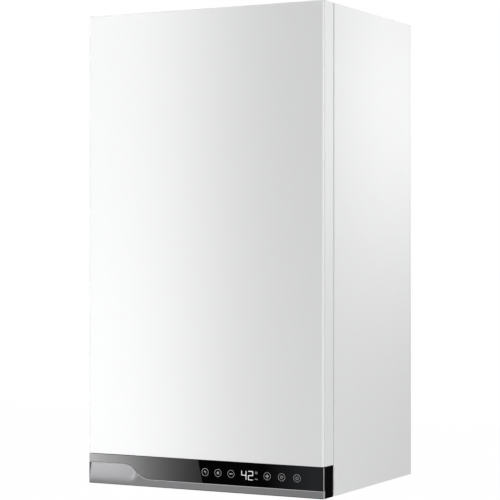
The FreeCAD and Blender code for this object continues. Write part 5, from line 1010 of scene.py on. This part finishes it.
def set_screws(name, places, turn, nodes=()):
    """Copies of the screw at places in millimetres, turned about X, joined into one piece."""
    copies = []
    for place in places:
        take_up(screw)
        bpy.ops.object.duplicate()
        copy = bpy.context.object
        copy.rotation_euler.x = math.radians(turn)
        copy.location = Vector(place) * MM
        bpy.ops.object.transform_apply(location=True, rotation=True, scale=True)
        copies.append(copy)
    piece = join_pieces(name, copies)
    close_piece(piece, zinc_screw, "casing", nodes, smooth=35)


low, high = (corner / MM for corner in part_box("chamber_screws"))
columns = (low.x + SCREW_INSET, 0, high.x - SCREW_INSET)
rows = (low.z + SCREW_INSET, (low.z + high.z) / 2, high.z - SCREW_INSET)
places = [(x, high.y, z) for x in columns for z in rows if not (x == 0 and z == rows[1])]
set_screws("plate_screws", places, FACE_FRONT, ["chamber_screws"])

# %% [markdown]
# Four more screws hold the flue collar on the top panel. Their height could be read off a drawing, but the
# collar's flange is already in the frame. So a ray is sent straight down on it, and each screw sits where its
# ray lands.

# %% Screws of the flue collar
RAY_START = 200
FLANGE_INSET = 9


def top_of(node, x, y):
    """Height of a node's upper face under a point, in millimetres."""
    start, down = Vector((x, y, RAY_START)) * MM, Vector((0, 0, -1))
    hit, place, normal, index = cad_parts[node].ray_cast(start, down)
    return place.z / MM if hit else None


low, high = (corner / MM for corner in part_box("flue_collar"))
flue_y = (low.y + high.y) / 2
reach = (high.x - FLANGE_INSET) * math.sqrt(0.5)
corners = [(x, flue_y + y) for x in (-reach, reach) for y in (-reach, reach)]
places = [(x, y, top_of("flue_collar", x, y)) for x, y in corners]
print("collar screws at", [round(place[2], 2) for place in places])
set_screws("collar_screws", places, FACE_UP)
bpy.data.objects.remove(screw)

# %% [markdown]
# The five tails under the boiler end in pipe threads. Rings stacked on the tail would look like a thread at
# first sight, but a thread climbs by its pitch on each turn. So a small triangle is swept by the Screw
# modifier, closed at its two ends, and set on the tail.

# %% Threads of the tails
PIPE_PITCH, THREAD_TURNS, THREAD_STEPS = 1.814, 12, 32
CREST_TRIM, FLANK_STRETCH = 0.2, 1.4
TAILS = ((-140, 13.2), (-70, 10.45), (0, 13.2), (70, 10.45), (140, 13.2))
TAIL_LINE, THREAD_START = -130, -669.2


def pipe_thread(x, radius):
    """A helical ridge on a round tail, from its lower end upwards."""
    clear_desk()
    bpy.ops.mesh.primitive_plane_add(
        size=1 * MM, location=(radius * MM, 0, 0), rotation=(QUARTER_TURN, 0, 0),
    )
    ridge = bpy.context.object
    bpy.ops.object.transform_apply(location=True, rotation=True)
    pick(ridge, "VERT", lambda place, way: place.x > radius)
    bpy.ops.mesh.merge(type="CENTER")
    pick(ridge, "VERT", lambda place, way: place.x > radius)
    bpy.ops.transform.translate(value=(-CREST_TRIM * MM, 0, 0))
    pick(ridge, "VERT", lambda place, way: place.x < radius)
    bpy.ops.transform.resize(value=(1, 1, FLANK_STRETCH), center_override=(0, 0, 0))
    use_modifier(
        ridge, "SCREW", axis="Z", angle=math.tau, screw_offset=PIPE_PITCH * MM, iterations=THREAD_TURNS,
        steps=THREAD_STEPS, render_steps=THREAD_STEPS, use_merge_vertices=True, merge_threshold=NEAR * MM,
    )
    bpy.ops.object.mode_set(mode="EDIT")
    bpy.ops.mesh.select_all(action="SELECT")
    bpy.ops.mesh.fill_holes(sides=4)
    bpy.ops.mesh.normals_make_consistent(inside=False)
    bpy.ops.object.mode_set(mode="OBJECT")
    ridge.location = Vector((x, TAIL_LINE, THREAD_START)) * MM
    bpy.ops.object.transform_apply(location=True)
    return ridge


threads = join_pieces("pipe_threads", [pipe_thread(x, radius) for x, radius in TAILS])
close_piece(threads, brass_cast, "casing", smooth=25)

# %% [markdown]
# ## Stage, light and camera
# The boiler hangs in front of plain white, over a pale floor. Strong lamps could burn the floor out to white,
# but they would burn the white cover too. So the floor has plain paint for the light and its shadow, and
# shows white only to the eye, to mirrors and through glass, with a hair of the paint mixed in.

# %% Floor
FLOOR_LEVEL, FLOOR_SIZE, FLOOR_WHITE = -1.3, 14, 0.99


def looked_at(nodes, links):
    """1 for rays of the camera, of mirrors and through glass, so that only these meet plain white."""
    seen = nodes.new("ShaderNodeLightPath")
    total = seen.outputs["Is Camera Ray"]
    for ray in ("Is Glossy Ray", "Is Transmission Ray"):
        either = nodes.new("ShaderNodeMath")
        either.operation = "MAXIMUM"
        links.new(total, either.inputs[0])
        links.new(seen.outputs[ray], either.inputs[1])
        total = either.outputs[0]
    return total


clear_desk()
bpy.ops.mesh.primitive_plane_add(size=FLOOR_SIZE, location=(0, 0, FLOOR_LEVEL))
floor = bpy.context.object
floor.name = "floor"
floor_paint = bpy.data.materials.new("pale_floor")
floor_paint.use_nodes = True
nodes, links = floor_paint.node_tree.nodes, floor_paint.node_tree.links
shader = nodes["Principled BSDF"]
shader.inputs["Base Color"].default_value = (0.85, 0.85, 0.85, 1)
shader.inputs["Roughness"].default_value = 0.9
glow = nodes.new("ShaderNodeEmission")
mix = nodes.new("ShaderNodeMixShader")
share = nodes.new("ShaderNodeMath")
share.operation = "MULTIPLY"
share.inputs[1].default_value = FLOOR_WHITE
links.new(looked_at(nodes, links), share.inputs[0])
links.new(share.outputs[0], mix.inputs["Fac"])
links.new(shader.outputs[0], mix.inputs[1])
links.new(glow.outputs[0], mix.inputs[2])
links.new(mix.outputs[0], nodes["Material Output"].inputs["Surface"])
floor.data.materials.append(floor_paint)
print("floor at", FLOOR_LEVEL)

# %% [markdown]
# The room around is white to the eye as well. As light it would be far too strong at that level and would
# flatten every shape, so it lights the boiler with well under half of what it shows.

# %% World
ROOM_LIGHT, ROOM_SHOWN = 0.38, 1.0
world = bpy.data.worlds.new("white_room")
scene.world = world
world.use_nodes = True
nodes, links = world.node_tree.nodes, world.node_tree.links
sky = nodes["Background"]
level = nodes.new("ShaderNodeMapRange")
level.inputs["To Min"].default_value = ROOM_LIGHT
level.inputs["To Max"].default_value = ROOM_SHOWN
links.new(looked_at(nodes, links), level.inputs["Value"])
sky.inputs["Color"].default_value = (1, 1, 1, 1)
links.new(level.outputs["Result"], sky.inputs["Strength"])
print("the room lights with", ROOM_LIGHT, "and shows", ROOM_SHOWN)

# %% [markdown]
# A soft lamp stands in front at the right and lights the front and the side panel alike. A narrow one in front
# of the left half makes the front fade from white there to light grey at its right edge, and a small one
# brightens the upper side. Three weak ones serve the lobe, the top and the underside. One large lamp would be
# simpler, but it gives one even tone, and the fades are what shows the flat faces apart.

# %% Lamps
LAMPS = [
    # name, place, target, width and height, power, spread in degrees
    ("corner_lamp", (2.6, -2.35, -0.15), (0.0, -0.2, -0.3), (1.0, 1.6), 40, 180),
    ("left_pool", (-0.30, -1.13, -0.28), (-0.30, -0.33, -0.28), (0.6, 1.5), 1.22, 34),
    ("side_pool", (1.0, -0.03, -0.03), (0.2, -0.05, -0.05), (0.3, 0.3), 0.37, 66),
    ("lobe_lamp", (-0.85, -1.35, -0.48), (-0.17, -0.33, -0.63), (0.2, 0.16), 0.1, 60),
    ("top_lamp", (-0.95, -0.65, 1.2), (0.0, -0.33, -0.6), (0.9, 0.6), 5, 180),
    ("under_lamp", (0.6, -0.75, -1.25), (0.1, -0.33, -0.62), (0.6, 0.4), 0.8, 180),
]
for name, place, target, size, power, spread in LAMPS:
    clear_desk()
    bpy.ops.object.light_add(type="AREA", location=place)
    lamp = bpy.context.object
    lamp.name = name
    lamp.data.shape = "RECTANGLE"
    lamp.data.size, lamp.data.size_y = size
    lamp.data.energy = power
    lamp.data.spread = math.radians(spread)
    lamp.rotation_euler = (Vector(target) - Vector(place)).to_track_quat("-Z", "Y").to_euler()
print("lamps", len(bpy.data.lights))

# %% [markdown]
# The camera stands level with the boiler's middle, about 28 degrees to its right. A short lens from nearby
# would lean the uprights, so it is a long lens from almost three metres, and the camera isn't tilted.

# %% Camera
CAMERA_PLACE = (1.28688, -2.63308, -0.30060)
CAMERA_TURN = math.radians(27.643)
LENS, SENSOR = 127.204, 36
clear_desk()
bpy.ops.object.camera_add(location=CAMERA_PLACE, rotation=(QUARTER_TURN, 0, CAMERA_TURN))
camera = bpy.context.object
camera.data.sensor_width = SENSOR
camera.data.lens = LENS
scene.camera = camera
scene.view_settings.view_transform = "Standard"
print("camera lens", camera.data.lens)
